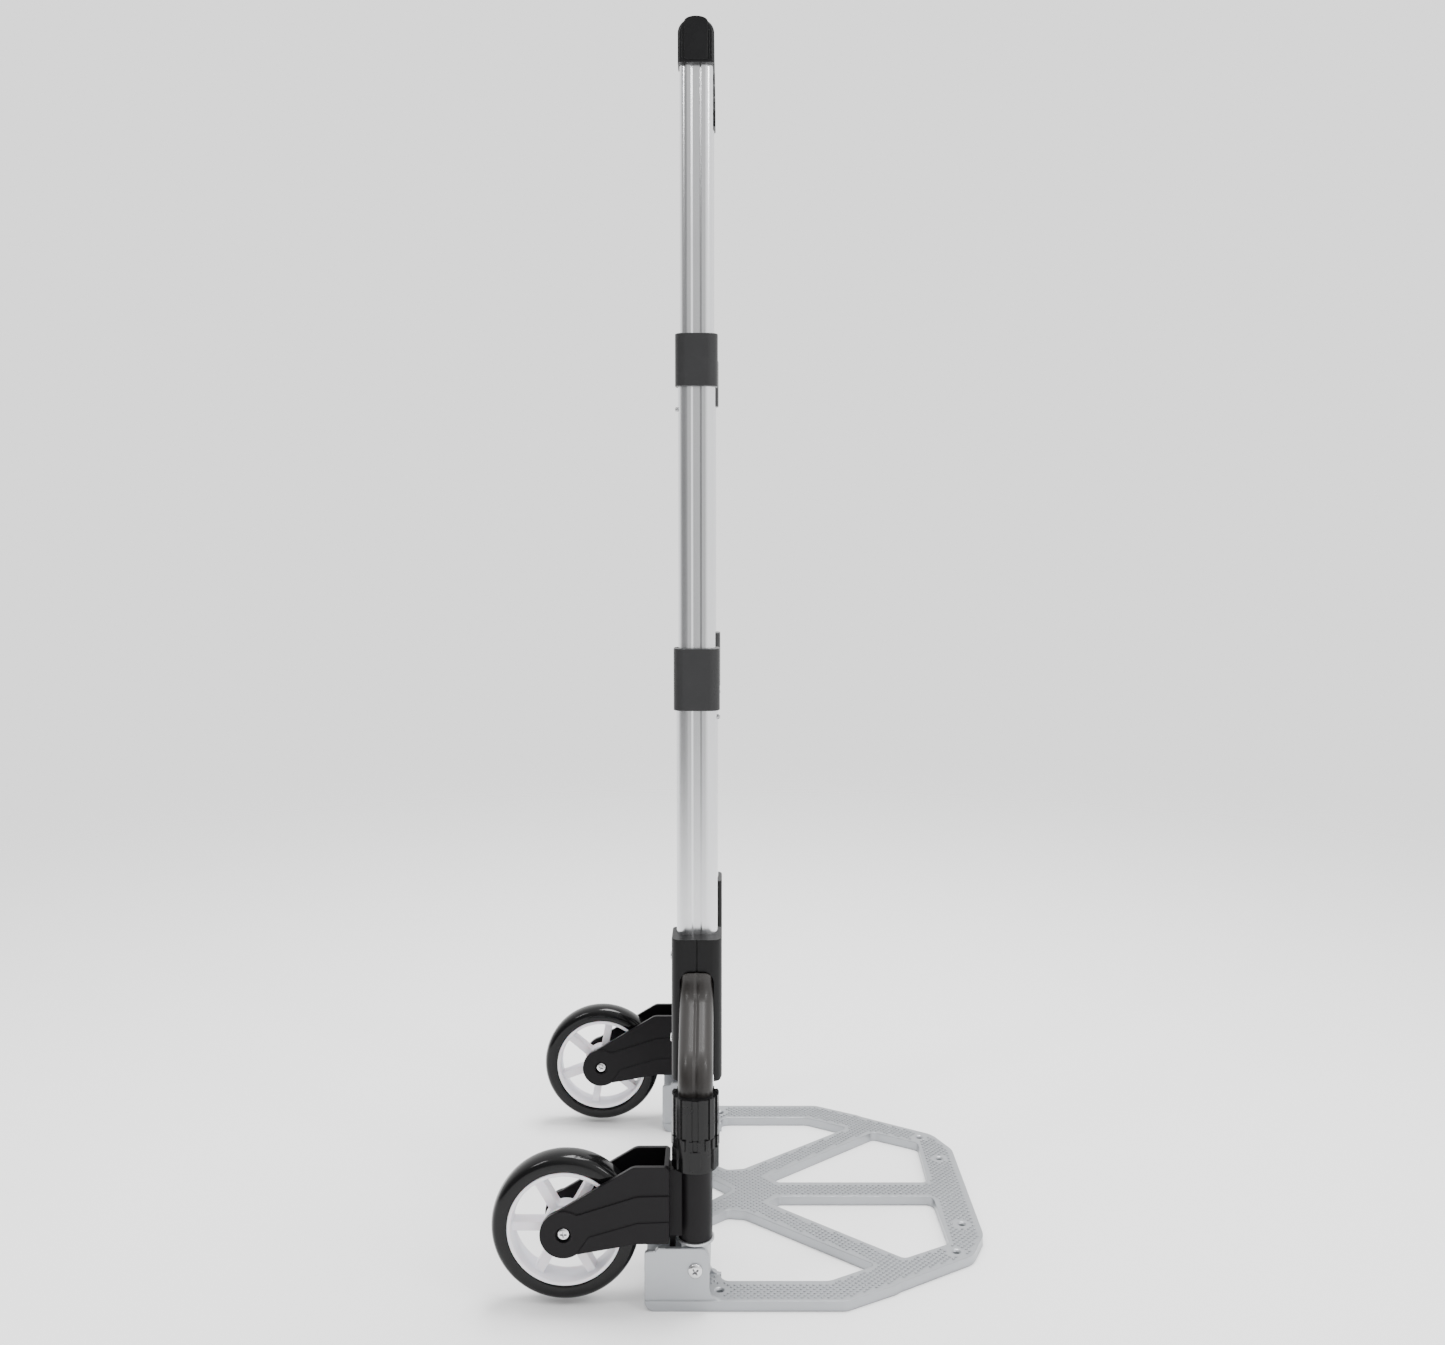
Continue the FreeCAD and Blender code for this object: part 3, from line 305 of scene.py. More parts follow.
def glossy_plastic(name, rgb, roughness, edge, lift=1.5):
    """Glossy moulding with faint ripple and handling marks."""
    s = Shader(name)
    ripple = s.noise(60.0, 2.0)
    marks = s.noise(500.0, 5.0, 0.7)
    rubbed = ((s.noise(45.0, 4.0, 0.65) - 0.56) * 5.0).limited()
    normal = s.bump(ripple * 0.8 + marks * 0.2, 0.00012, 0.25, s.rounded(edge))
    return s.surface(
        Base_Color=s.mix(rubbed * 0.6 + ripple * 0.2, shade(rgb, 0.9), shade(rgb, lift)),
        Roughness=roughness + rubbed * 0.16 + marks * 0.06, Normal=normal, Coat_Weight=0.2,
        Coat_Roughness=0.08, Specular_IOR_Level=0.15,
    )


def powder_coat(name, rgb):
    """Textured powder coat on the legs."""
    s = Shader(name)
    pebble = s.noise(1500.0, 2.0, 0.6)
    coarse = s.noise(620.0, 2.0, 0.5)
    cloud = s.noise(30.0, 3.0)
    height = pebble * 0.6 + coarse * 0.4
    return s.surface(
        Base_Color=s.mix(cloud * 0.5 + coarse * 0.5, shade(rgb, 0.8), shade(rgb, 1.5)),
        Roughness=0.30 + pebble * 0.14, Normal=s.bump(height, 0.00016, 0.55), Coat_Weight=0.1,
        Coat_Roughness=0.20, Specular_IOR_Level=0.36,
    )


def tyre_rubber(name, rgb):
    """Polished solid tyre with faint moulding rings and dust."""
    s = Shader(name)
    ripple = s.noise(40.0, 2.0)
    dust = s.noise(260.0, 6.0, 0.75)
    scuff = ((s.noise(90.0, 5.0, 0.7) - 0.6) * 6.0).limited()
    return s.surface(
        Base_Color=s.mix((scuff * 0.5 + dust * 0.3).limited(), shade(rgb, 0.9), shade(rgb, 2.6)),
        Roughness=0.15 + dust * 0.08 + scuff * 0.18, Normal=s.bump(ripple * 0.7 + dust * 0.3, 0.0001, 0.2),
        Coat_Weight=0.25, Coat_Roughness=0.04, Specular_IOR_Level=0.10,
    )


def hub_plastic(name, rgb):
    """White plastic with a lilac cast, slightly translucent."""
    s = Shader(name)
    fine = s.noise(700.0, 3.0, 0.6)
    cloud = s.noise(35.0, 3.0)
    grime = ((s.noise(60.0, 5.0, 0.7) - 0.6) * 3.0).limited() * 0.35
    return s.surface(
        Base_Color=s.mix((cloud * 0.5 + grime).limited(), rgb, shade(rgb, 0.90)),
        Roughness=0.30 + fine * 0.10 + grime * 0.3, Normal=s.bump(fine, 0.00003, 0.35),
        Subsurface_Weight=0.12, Subsurface_Scale=0.004,
    )


def floor_finish(name, rgb):
    """Seamless matt floor that fades out far away, so that it has no hard horizon."""
    s = Shader(name)
    cloud = s.noise(2.0, 2.0)
    away = s.node("ShaderNodeVectorMath", {"operation": "LENGTH"}, {0: s.place}, "Value")
    fade = s.node("ShaderNodeMapRange", {"interpolation_type": "SMOOTHSTEP"},
                  {"Value": away, "From Min": 0.5, "From Max": 3.0, "To Min": 1.0, "To Max": 0.0})
    return s.surface(Base_Color=s.mix(cloud, rgb, shade(rgb, 1.02)), Roughness=0.62, Specular_IOR_Level=0.25,
                     Alpha=fade)


def all_finishes():
    """Every finish by its slot name in the record."""
    c = bpy.context.scene.hand_truck_colours
    edge = bpy.context.scene.hand_truck_sizes.edge_round
    return {
        "tube_aluminium": drawn_aluminium("drawn_aluminium", c.aluminium),
        "plate_metal": silvered_metal("plate_silver", c.plate, 1100.0, 0.31, 0.72, edge * 1.6),
        "cast_metal": silvered_metal("cast_silver", c.cast, 600.0, 0.38, 0.85, edge),
        "screw_metal": plated_steel("plated_screws", c.chrome, 0.13),
        "post_steel": plated_steel("turned_steel", c.steel, 0.22),
        "button_metal": plated_steel("button_steel", c.steel, 0.26),
        "leg_paint": powder_coat("leg_powder_coat", c.leg),
        "bracket_plastic": moulded_plastic("bracket_plastic", c.bracket, 1500.0, 0.00006, 0.36, edge * 1.4),
        "collar_plastic": moulded_plastic("collar_plastic", c.collar, 1900.0, 0.00003, 0.30, edge),
        "grip_plastic": moulded_plastic("grip_plastic", c.grip, 1700.0, 0.00004, 0.24, edge),
        "arm_plastic": moulded_plastic("arm_plastic", c.arm, 1600.0, 0.00004, 0.36, edge),
        "clamp_plastic": glossy_plastic("clamp_plastic", c.clamp, 0.20, edge * 0.8),
        "hub_plastic": hub_plastic("hub_plastic", c.hub),
        "tyre": tyre_rubber("tyre_rubber", c.tyre),
        "bush_plastic": moulded_plastic("bush_plastic", c.hidden, 1200.0, 0.00003, 0.4, edge * 0.5),
    }


def finish_of(slot):
    """The material made for a slot, by the first operator."""
    return bpy.data.materials[bpy.context.scene["hand_truck_finishes"][slot]]


# ---- mesh building -------------------------------------------------------------
def new_object(name, data):
    """Put a mesh, curve, light or camera into the scene as an object."""
    item = bpy.data.objects.new(name, data)
    bpy.context.scene.collection.objects.link(item)
    return item


def mesh_from(name, build):
    """A mesh object filled by a function that gets an empty bmesh."""
    bm = bmesh.new()
    build(bm)
    bmesh.ops.recalc_face_normals(bm, faces=bm.faces)
    mesh = bpy.data.meshes.new(name)
    bm.to_mesh(mesh)
    bm.free()
    return new_object(name, mesh)


def smooth_by_angle(mesh, degrees):
    """Smooth shading, with edges sharper than an angle kept sharp."""
    bm = bmesh.new()
    bm.from_mesh(mesh)
    for face in bm.faces:
        face.smooth = True
    for edge in bm.edges:
        if len(edge.link_faces) == 2:
            edge.smooth = edge.calc_face_angle(0.0) < math.radians(degrees)
    bm.to_mesh(mesh)
    bm.free()


def circle(steps):
    """Cosine and sine of evenly spaced angles."""
    angles = [2 * math.pi * i / steps for i in range(steps)]
    return [(math.cos(a), math.sin(a)) for a in angles]


def bridge(bm, a, b):
    """Join two closed rows of vertices by quads."""
    for i in range(len(a)):
        k = (i + 1) % len(a)
        bm.faces.new((a[i], a[k], b[k], b[i]))


def lathe(bm, profile, centre, steps):
    """Turn a closed (radius, offset) outline round an axle along Y through centre."""
    rings = [[bm.verts.new(centre + Vector((r * c, y, r * s))) for r, y in profile] for c, s in circle(steps)]
    for i, ring in enumerate(rings):
        bridge(bm, rings[(i + 1) % steps], ring)


def join(items, name):
    """Join mesh objects into the first one and name it."""
    bm = bmesh.new()
    for item in items:
        piece = item.data.copy()
        piece.transform(item.matrix_world)
        bm.from_mesh(piece)
        bpy.data.meshes.remove(piece)
    mesh = bpy.data.meshes.new(name)
    bm.to_mesh(mesh)
    bm.free()
    for item in items:
        bpy.data.objects.remove(item)
    return new_object(name, mesh)


def settle(item, name):
    """Turn an object with live modifiers into a plain mesh object at the origin."""
    bpy.context.view_layer.update()
    made = bpy.data.meshes.new_from_object(item.evaluated_get(bpy.context.evaluated_depsgraph_get()))
    made.transform(item.matrix_world)
    made.name = name
    bpy.data.objects.remove(item)
    return new_object(name, made)


def attach(item, body, slot, *nodes):
    """Give a finished piece the finish of its slot and its body, and hide the CAD nodes that it stands for.
    """
    item.data.materials.clear()
    item.data.materials.append(finish_of(slot))
    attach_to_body(item, body)
    if nodes:
        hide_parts(*nodes)
    return item


def span_of(node, axis):
    """How wide a CAD node is along one axis (0, 1 or 2)."""
    low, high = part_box(node)
    return high[axis] - low[axis]


# ---- geometry node trees ---------------------------------------------------------
class Tree:
    """A geometry node tree with named inputs."""

    def __init__(self, name, inputs):
        self.tree = bpy.data.node_groups.new(name, "GeometryNodeTree")
        face = self.tree.interface
        face.new_socket("Geometry", in_out="INPUT", socket_type="NodeSocketGeometry")
        for label, kind in inputs:
            face.new_socket(label, in_out="INPUT", socket_type=kind)
        face.new_socket("Geometry", in_out="OUTPUT", socket_type="NodeSocketGeometry")
        self.start = self.tree.nodes.new("NodeGroupInput")
        self.end = self.tree.nodes.new("NodeGroupOutput")

    def given(self, label):
        return self.start.outputs[label]

    def node(self, kind, settings=None, inputs=None, output=0):
        """Add a node: settings first, then values or links; gives back one output."""
        node = self.tree.nodes.new(kind)
        for key, setting in (settings or {}).items():
            setattr(node, key, setting)
        for key, value in (inputs or {}).items():
            socket = node.inputs[key]
            if isinstance(value, bpy.types.NodeSocket):
                self.tree.links.new(value, socket)
            else:
                socket.default_value = value
        return node.outputs[output]

    def finish(self, geometry, material):
        """End the tree in Realize Instances and Set Material."""
        real = self.node("GeometryNodeRealizeInstances", inputs={"Geometry": geometry})
        done = self.node("GeometryNodeSetMaterial", inputs={"Geometry": real, "Material": material})
        self.tree.links.new(done, self.end.inputs[0])
        return self.tree


def apply_tree(item, tree, values, name):
    """Run a geometry tree on an object with named input values and keep the result as a mesh."""
    modifier = item.modifiers.new(tree.name, "NODES")
    modifier.node_group = tree
    for socket in tree.interface.items_tree:
        if socket.in_out == "INPUT" and socket.name in values:
            modifier[socket.identifier] = values[socket.name]
    return settle(item, name)


# ---- operators -------------------------------------------------------------------
class HANDTRUCK_OT_finishes(Operator):
    """Give every CAD node that stays its finish"""

    bl_idname = "handtruck.finishes"
    bl_label = "Finishes"

    def execute(self, context):
        finishes = all_finishes()
        context.scene["hand_truck_finishes"] = {slot: m.name for slot, m in finishes.items()}
        for part in frame["record"]["subparts"]:
            mesh = NODES[part["node"]].data
            mesh.materials.clear()
            mesh.materials.append(finishes[part["material_slot"]])
        return {"FINISHED"}


def window_outline(turn, sizes, outer):
    """One opening between two spokes, as points with rounded corners."""
    slice_angle = 2 * math.pi / sizes.spoke_count
    points = []
    for radius, ways in ((outer, 1), (sizes.window_inner, -1)):
        margin = math.asin(sizes.spoke_width / 2 / radius)
        span = slice_angle - 2 * margin
        steps = 10
        for i in range(steps + 1):
            share = i / steps if ways > 0 else 1 - i / steps
            angle = turn + margin + span * share
            points.append(Vector((radius * math.cos(angle), radius * math.sin(angle))))
    return round_corners(points, sizes.window_corner)


def round_corners(points, radius):
    """Replace every sharp corner of a closed outline by a short arc."""
    made = []
    count = len(points)
    for i, here in enumerate(points):
        before = points[i - 1] - here
        after = points[(i + 1) % count] - here
        if before.angle(after) > math.radians(150):
            made.append(here)
            continue
        a = here + before.normalized() * min(radius, before.length * 0.9)
        b = here + after.normalized() * min(radius, after.length * 0.9)
        for k in range(7):
            t = k / 6
            made.append(a * (1 - t) ** 2 + here * 2 * t * (1 - t) + b * t * t)
    return made


def spoked_web(name, centre, turn, sizes, rim_inside):
    """The flat spoked web of a wheel as a bevelled extruded outline."""
    curve = bpy.data.curves.new(name, "CURVE")
    curve.dimensions = "2D"
    curve.fill_mode = "BOTH"
    curve.extrude = sizes.spoke_half_depth - WEB_BEVEL
    curve.bevel_depth = WEB_BEVEL
    curve.bevel_resolution = 2
    outlines = [[Vector((rim_inside * c, rim_inside * s)) for c, s in circle(WEB_STEPS)]]
    for i in range(sizes.spoke_count):
        angle = turn + 2 * math.pi * i / sizes.spoke_count
        outlines.append(window_outline(angle, sizes, rim_inside - RIM_LEDGE))
    for outline in outlines:
        spline = curve.splines.new("POLY")
        spline.points.add(len(outline) - 1)
        spline.use_cyclic_u = True
        for point, target in zip(spline.points, outline):
            point.co = (target.x, target.y, 0.0, 1.0)
    item = new_object(name, curve)
    item.matrix_world = Matrix.Translation(centre) @ Matrix.Rotation(math.pi / 2, 4, "X")
    return settle(item, name)


class HANDTRUCK_OT_wheels(Operator):
    """Rounded glossy tyres and spoked white hubs"""

    bl_idname = "handtruck.wheels"
    bl_label = "Wheels"

    def execute(self, context):
        sizes = context.scene.hand_truck_sizes
        turns = {"left": math.radians(20), "right": 0.0}
        for side in SIDES:
            low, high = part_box("tyre_" + side)
            centre = (low + high) / 2
            radius = (high.x - low.x) / 2
            half = (high.y - low.y) / 2
            rim = span_of("wheel_hub_" + side, 0) / 2
            tread = tyre_profile(radius, half, rim, sizes)
            tyre = mesh_from("tyre_" + side + "_round", lambda bm: lathe(bm, tread, centre, WHEEL_STEPS))
            smooth_by_angle(tyre.data, 40)
            attach(tyre, "wheel_" + side, "tyre", "tyre_" + side)
            band = rim_profile(rim, half, sizes)
            ring = mesh_from("rim", lambda bm: lathe(bm, band, centre, WHEEL_STEPS))
            middle = boss_profile(span_of("wheel_hub_" + side, 1) / 2, sizes)
            boss = mesh_from("boss", lambda bm: lathe(bm, middle, centre, BOSS_STEPS))
            web = spoked_web("web", centre, turns[side], sizes, rim - sizes.rim_thickness * 0.5)
            hub = join([ring, boss, web], "spoked_hub_" + side)
            smooth_by_angle(hub.data, 35)
            attach(hub, "wheel_" + side, "hub_plastic", "wheel_hub_" + side)
        return {"FINISHED"}


def tyre_profile(radius, half, rim, sizes):
    """Outline of a tyre's section: bead, side wall, rounded tread."""
    bead = [(rim, half - 0.0022), (rim + 0.0008, half - 0.0008), (rim + 0.0028, half - 0.0002)]
    points = [(r, -y) for r, y in bead]
    shoulder = radius - sizes.tyre_crown - TREAD_DEPTH
    steps = 14
    for i in range(steps + 1):
        a = -math.pi / 2 + math.pi * i / steps
        lean = abs(math.sin(a)) ** SIDE_FULLNESS * math.copysign(1, math.sin(a))
        bulge = max(0.0, math.cos(a)) ** TREAD_FULLNESS
        points.append((shoulder + (radius - shoulder) * bulge, half * lean))
    return points + bead[::-1]


def rim_profile(rim, half, sizes):
    """Section of the rim ring: a thin band with a small lip at each side."""
    inside = rim - sizes.rim_thickness
    edge = 0.0006
    return mirrored([
        (inside - RIM_WAIST, half - RIM_SLOPE), (inside, half - RIM_LIP), (inside, half - edge),
        (inside + edge, half), (rim - edge, half), (rim, half - edge),
    ])


def boss_profile(half, sizes):
    """Section of the hub's middle: stepped disc and boss with a bore for the bush."""
    edge, fillet = 0.0008, 0.001
    disc = sizes.window_inner - edge
    depth = sizes.spoke_half_depth + 0.001
    return mirrored([
        (disc, depth - edge), (disc - edge, depth), (BOSS_RADIUS + fillet, depth),
        (BOSS_RADIUS, depth + fillet), (BOSS_RADIUS, half - edge), (BOSS_RADIUS - edge, half),
        (BUSH_BORE, half),
    ])


def mirrored(side):
    """A closed section, from its half at positive offsets along the axle."""
    return [(r, -y) for r, y in reversed(side)] + side


# ---- raised dots on the plate ------------------------------------------------------
def dot_mesh(sizes):
    """A low lozenge with a flat top."""
    def build(bm):
        foot, top = [], []
        for row, scale, z in ((foot, 1.0, -sizes.dot_height), (top, DOT_TAPER, sizes.dot_height)):
            a, b = sizes.dot_length / 2 * scale, sizes.dot_width / 2 * scale
            row += [bm.verts.new(p) for p in ((a, 0, z), (0, b, z), (-a, 0, z), (0, -b, z))]
        bm.faces.new(top)
        bm.faces.new(list(reversed(foot)))
        bridge(bm, foot, top)
    return mesh_from("lozenge", build)


class HANDTRUCK_OT_plate_dots(Operator):
    """Raised lozenges on the toe plate's top"""

    bl_idname = "handtruck.plate_dots"
    bl_label = "Plate dots"

    def execute(self, context):
        sizes = context.scene.hand_truck_sizes
        plate = NODES["toe_plate"]
        low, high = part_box("toe_plate")
        top = plate_top(plate)
        dot = dot_mesh(sizes)
        across = sizes.dot_pitch
        along = sizes.dot_length * DOT_STAGGER
        points = bpy.data.meshes.new("dot_points")
        places = []
        columns = int((high.y - low.y) / across)
        rows = int((high.x - low.x) / along)
        for i in range(columns):
            for j in range(rows):
                places.append((low.x + (j + (0.5 if i % 2 else 0.0)) * along,
                               low.y + (i + 0.5) * across, top + DOT_DROP))
        points.from_pydata(places, [], [])
        item = new_object("plate_dots", points)
        tree = dots_on_plate(plate, dot, finish_of("plate_metal"))
        made = apply_tree(item, tree, {"Border": sizes.dot_margin, "Top": top}, "plate_dots")
        bpy.data.objects.remove(dot)
        attach(made, "toe_plate", "plate_metal")
        return {"FINISHED"}


def plate_top(plate):
    """Height of the plate's upper face: the highest flat level in front of the ears."""
    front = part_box("toe_plate")[1].x - FRONT_STRIP
    return max(v.co.z for v in plate.data.vertices if v.co.x > front)


def dots_on_plate(plate, dot, material):
    """Keep the points that lie over the plate's top, away from its edges, and set a lozenge on each."""
    t = Tree("Raised dots", [("Border", "NodeSocketFloat"), ("Top", "NodeSocketFloat")])
    source = t.node("GeometryNodeObjectInfo", {"transform_space": "ORIGINAL"}, {"Object": plate}, "Geometry")
    position = t.node("GeometryNodeInputPosition")
    height = t.node("ShaderNodeSeparateXYZ", {}, {0: position}, "Z")
    off = t.node("ShaderNodeMath", {"operation": "SUBTRACT"}, {0: height, 1: t.given("Top")})
    off = t.node("ShaderNodeMath", {"operation": "ABSOLUTE"}, {0: off})
    level = t.node("FunctionNodeCompare", {"operation": "LESS_THAN"}, {"A": off, "B": LEVEL_ERROR})
    up = t.node("ShaderNodeSeparateXYZ", {}, {0: t.node("GeometryNodeInputNormal")}, "Z")
    facing = t.node("FunctionNodeCompare", {"operation": "GREATER_THAN"}, {"A": up, "B": 0.99})
    both = t.node("FunctionNodeBooleanMath", {"operation": "AND"}, {0: level, 1: facing})
    top = t.node("GeometryNodeSeparateGeometry", {"domain": "FACE"}, {"Geometry": source, "Selection": both})
    top = t.node("GeometryNodeMergeByDistance", {}, {"Geometry": top, "Distance": WELD})
    faces = t.node("GeometryNodeInputMeshEdgeNeighbors")
    lone = t.node("FunctionNodeCompare", {"operation": "LESS_THAN"}, {"A": faces, "B": 1.5})
    border = t.node("GeometryNodeSeparateGeometry", {"domain": "EDGE"}, {"Geometry": top, "Selection": lone})
    ray = t.node("GeometryNodeRaycast", {}, {
        "Target Geometry": top, "Source Position": position, "Ray Direction": (0.0, 0.0, -1.0),
        "Ray Length": 2 * DOT_DROP}, "Is Hit")
    landed = t.node("ShaderNodeVectorMath", {"operation": "MULTIPLY"}, {0: position, 1: (1.0, 1.0, 0.0)})
    lift = t.node("ShaderNodeCombineXYZ", {}, {"Z": t.given("Top")})
    landed = t.node("ShaderNodeVectorMath", {"operation": "ADD"}, {0: landed, 1: lift})
    near = t.node("GeometryNodeProximity", {"target_element": "EDGES"},
                  {"Geometry": border, "Sample Position": landed}, "Distance")
    clear = t.node("FunctionNodeCompare", {"operation": "GREATER_THAN"}, {"A": near, "B": t.given("Border")})
    keep = t.node("FunctionNodeBooleanMath", {"operation": "AND"}, {0: ray, 1: clear})
    points = t.node("GeometryNodeMeshToPoints", {}, {"Mesh": t.given("Geometry"), "Selection": keep,
                                                    "Position": landed, "Radius": 0.001})
    shape = t.node("GeometryNodeObjectInfo", {"transform_space": "ORIGINAL"}, {"Object": dot}, "Geometry")
    dots = t.node("GeometryNodeInstanceOnPoints", {}, {"Points": points, "Instance": shape})
    return t.finish(dots, material)


# ---- screws ------------------------------------------------------------------------
def cross_head(sizes):
    """A domed screw head of radius 1 along +Z, with a tapered cross recess cut into it."""
    def dome(bm):
        rings = [(1.0, -0.02), (1.0, 0.16), (0.965, 0.27), (0.86, 0.37), (0.66, 0.445),
                 (0.40, 0.485), (0.15, 0.50)]
        steps = 40
        rows = [[bm.verts.new((r * c, r * s, z)) for c, s in circle(steps)] for r, z in rings]
        for a, b in zip(rows, rows[1:]):
            bridge(bm, a, b)
        bm.faces.new(rows[-1])
        bm.faces.new(list(reversed(rows[0])))

    def cross(bm):
        reach, width = sizes.recess_share, 0.15
        outline = []
        for q in range(4):
            c, s = (1, 0, -1, 0)[q], (0, 1, 0, -1)[q]
            for u, v in ((width, -width), (reach, -width * 0.8), (reach, width * 0.8)):
                outline.append((u * c - v * s, u * s + v * c))
        levels = [(1.12, 0.62), (0.42, 0.06)]
        rows = [[bm.verts.new((x * k, y * k, z)) for x, y in outline] for k, z in levels]
        bridge(bm, rows[0], rows[1])
        bm.faces.new(rows[0])
        bm.faces.new(list(reversed(rows[1])))

    head = mesh_from("screw_head", dome)
    cutter = mesh_from("cross_cutter", cross)
    cut = head.modifiers.new("recess", "BOOLEAN")
    cut.operation = "DIFFERENCE"
    cut.solver = "EXACT"
    cut.object = cutter
    head = settle(head, "screw_head")
    bpy.data.objects.remove(cutter)
    smooth_by_angle(head.data, 38)
    return head


def screws_tree(head, material):
    """Stand a head on every point, turned to the point's axis and scaled to its size."""
    t = Tree("Screw heads", [("Head radius", "NodeSocketFloat"), ("Spin", "NodeSocketFloat")])
    axis = t.node("GeometryNodeInputNamedAttribute", {"data_type": "FLOAT_VECTOR"}, {"Name": "axis"})
    shape = t.node("GeometryNodeObjectInfo", {"transform_space": "ORIGINAL"}, {"Object": head}, "Geometry")
    points = t.node("GeometryNodeMeshToPoints", {}, {"Mesh": t.given("Geometry"), "Radius": 0.001})
    index = t.node("GeometryNodeInputIndex")
    spin = t.node("ShaderNodeMath", {"operation": "MULTIPLY"}, {0: index, 1: t.given("Spin")})
    turn = t.node("FunctionNodeAlignRotationToVector", {"axis": "Z"}, {"Vector": axis})
    twist = t.node("FunctionNodeAxisAngleToRotation", {}, {"Axis": (0.0, 0.0, 1.0), "Angle": spin})
    both = t.node("FunctionNodeRotateRotation", {"rotation_space": "LOCAL"},
                  {"Rotation": turn, "Rotate By": twist})
    heads = t.node("GeometryNodeInstanceOnPoints", {}, {"Points": points, "Instance": shape, "Rotation": both,
                                                       "Scale": t.given("Head radius")})
    return t.finish(heads, material)


def bolt_heads(kind, side, radius):
    """Where the heads of a bolt along Y and of its nut sit: on the far faces of their boxes, facing away."""
    outward = Vector((0, 1 if side == "left" else -1, 0))
    places = []
    for node, axis in ((f"{kind}_bolt_{side}", outward), (f"{kind}_nut_{side}", -outward)):
        low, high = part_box(node)
        spot = (low + high) / 2
        spot.y = high.y if axis.y > 0 else low.y
        places.append((spot - axis * radius * HEAD_SINK, axis))
    return places


class HANDTRUCK_OT_screws(Operator):
    """Cross-recessed screw heads on the hinges, axles, bracket and grip"""

    bl_idname = "handtruck.screws"
    bl_label = "Screws"

    def execute(self, context):
        sizes = context.scene.hand_truck_sizes
        head = cross_head(sizes)
        tree = screws_tree(head, finish_of("screw_metal"))
        radius = span_of("hinge_nut_left", 0) / 2
        hinge = [place for side in SIDES for place in bolt_heads("hinge", side, radius)]
        shafts = ["hinge_bolt_" + side for side in SIDES]
        nodes = [k + side for side in SIDES for k in ("hinge_bolt_", "hinge_nut_")]
        groups = [("hinge_screws", "toe_plate", hinge, radius, shafts, nodes)]
        for side in SIDES:
            radius = span_of("axle_nut_" + side, 0) / 2
            groups.append(("axle_screws_" + side, "wheel_arm_" + side, bolt_heads("axle", side, radius),
                           radius, ["axle_bolt_" + side], ["axle_bolt_" + side, "axle_nut_" + side]))
        groups.append(("bracket_screw_heads", "frame", *island_heads("bracket_screws", Vector((-1, 0, 0))),
                       [], ["bracket_screws"]))
        groups.append(("grip_screw_heads", "upper_stage", *island_heads("grip_screws", Vector((0, 0, -1))),
                       [], ["grip_screws"]))
        for name, body, places, radius, shafts, nodes in groups:
            heads = apply_tree(screw_points(places), tree, {"Head radius": radius, "Spin": HEAD_SPIN}, name)
            rods = [shank(node) for node in shafts]
            piece = join([heads] + rods, name) if rods else heads
            smooth_by_angle(piece.data, 38)
            attach(piece, body, "screw_metal", *nodes)
        bpy.data.objects.remove(head)
        return {"FINISHED"}


def screw_points(places):
    """A mesh of loose points that carry their screws' axes."""
    mesh = bpy.data.meshes.new("screw_points")
    mesh.from_pydata([p for p, axis in places], [], [])
    attribute = mesh.attributes.new("axis", "FLOAT_VECTOR", "POINT")
    attribute.data.foreach_set("vector", [c for p, axis in places for c in axis])
    return new_object("screw_points", mesh)


def shank(node):
    """The plain shank of a bolt, along Y between its heads."""
    low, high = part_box(node)
    middle = (low + high) / 2
    ends = (low.y - middle.y + SHANK_INSET, high.y - middle.y - SHANK_INSET)

    def build(bm):
        rows = [[bm.verts.new(middle + Vector((SHANK_RADIUS * c, y, SHANK_RADIUS * s)))
                 for c, s in circle(SHANK_STEPS)] for y in ends]
        bridge(bm, rows[0], rows[1])
        for row in rows:
            bm.faces.new(row)
    return mesh_from("shank", build)


def island_heads(node, axis):
    """Head places of a node that groups several screws, found from its separate solids."""
    bm = bmesh.new()
    bm.from_mesh(NODES[node].data)
    bmesh.ops.remove_doubles(bm, verts=bm.verts, dist=0.00001)
    left = set(bm.verts)
    places = []
    radius = 0.0
    while left:
        stack = [left.pop()]
        island = list(stack)
        while stack:
            for edge in stack.pop().link_edges:
                for vert in edge.verts:
                    if vert in left:
                        left.remove(vert)
                        stack.append(vert)
                        island.append(vert)
        far = max(v.co.dot(axis) for v in island)
        across = [v.co - axis * v.co.dot(axis) for v in island]
        low = [min(v[i] for v in across) for i in range(3)]
        high = [max(v[i] for v in across) for i in range(3)]
        middle = Vector([(a + b) / 2 for a, b in zip(low, high)])
        radius = max(h - l for l, h in zip(low, high)) / 2
        places.append((middle + axis * (far - radius * HEAD_SINK), axis))
    bm.free()
    places.sort(key=lambda p: tuple(round(c, 5) for c in p[0]))
    return places, radius


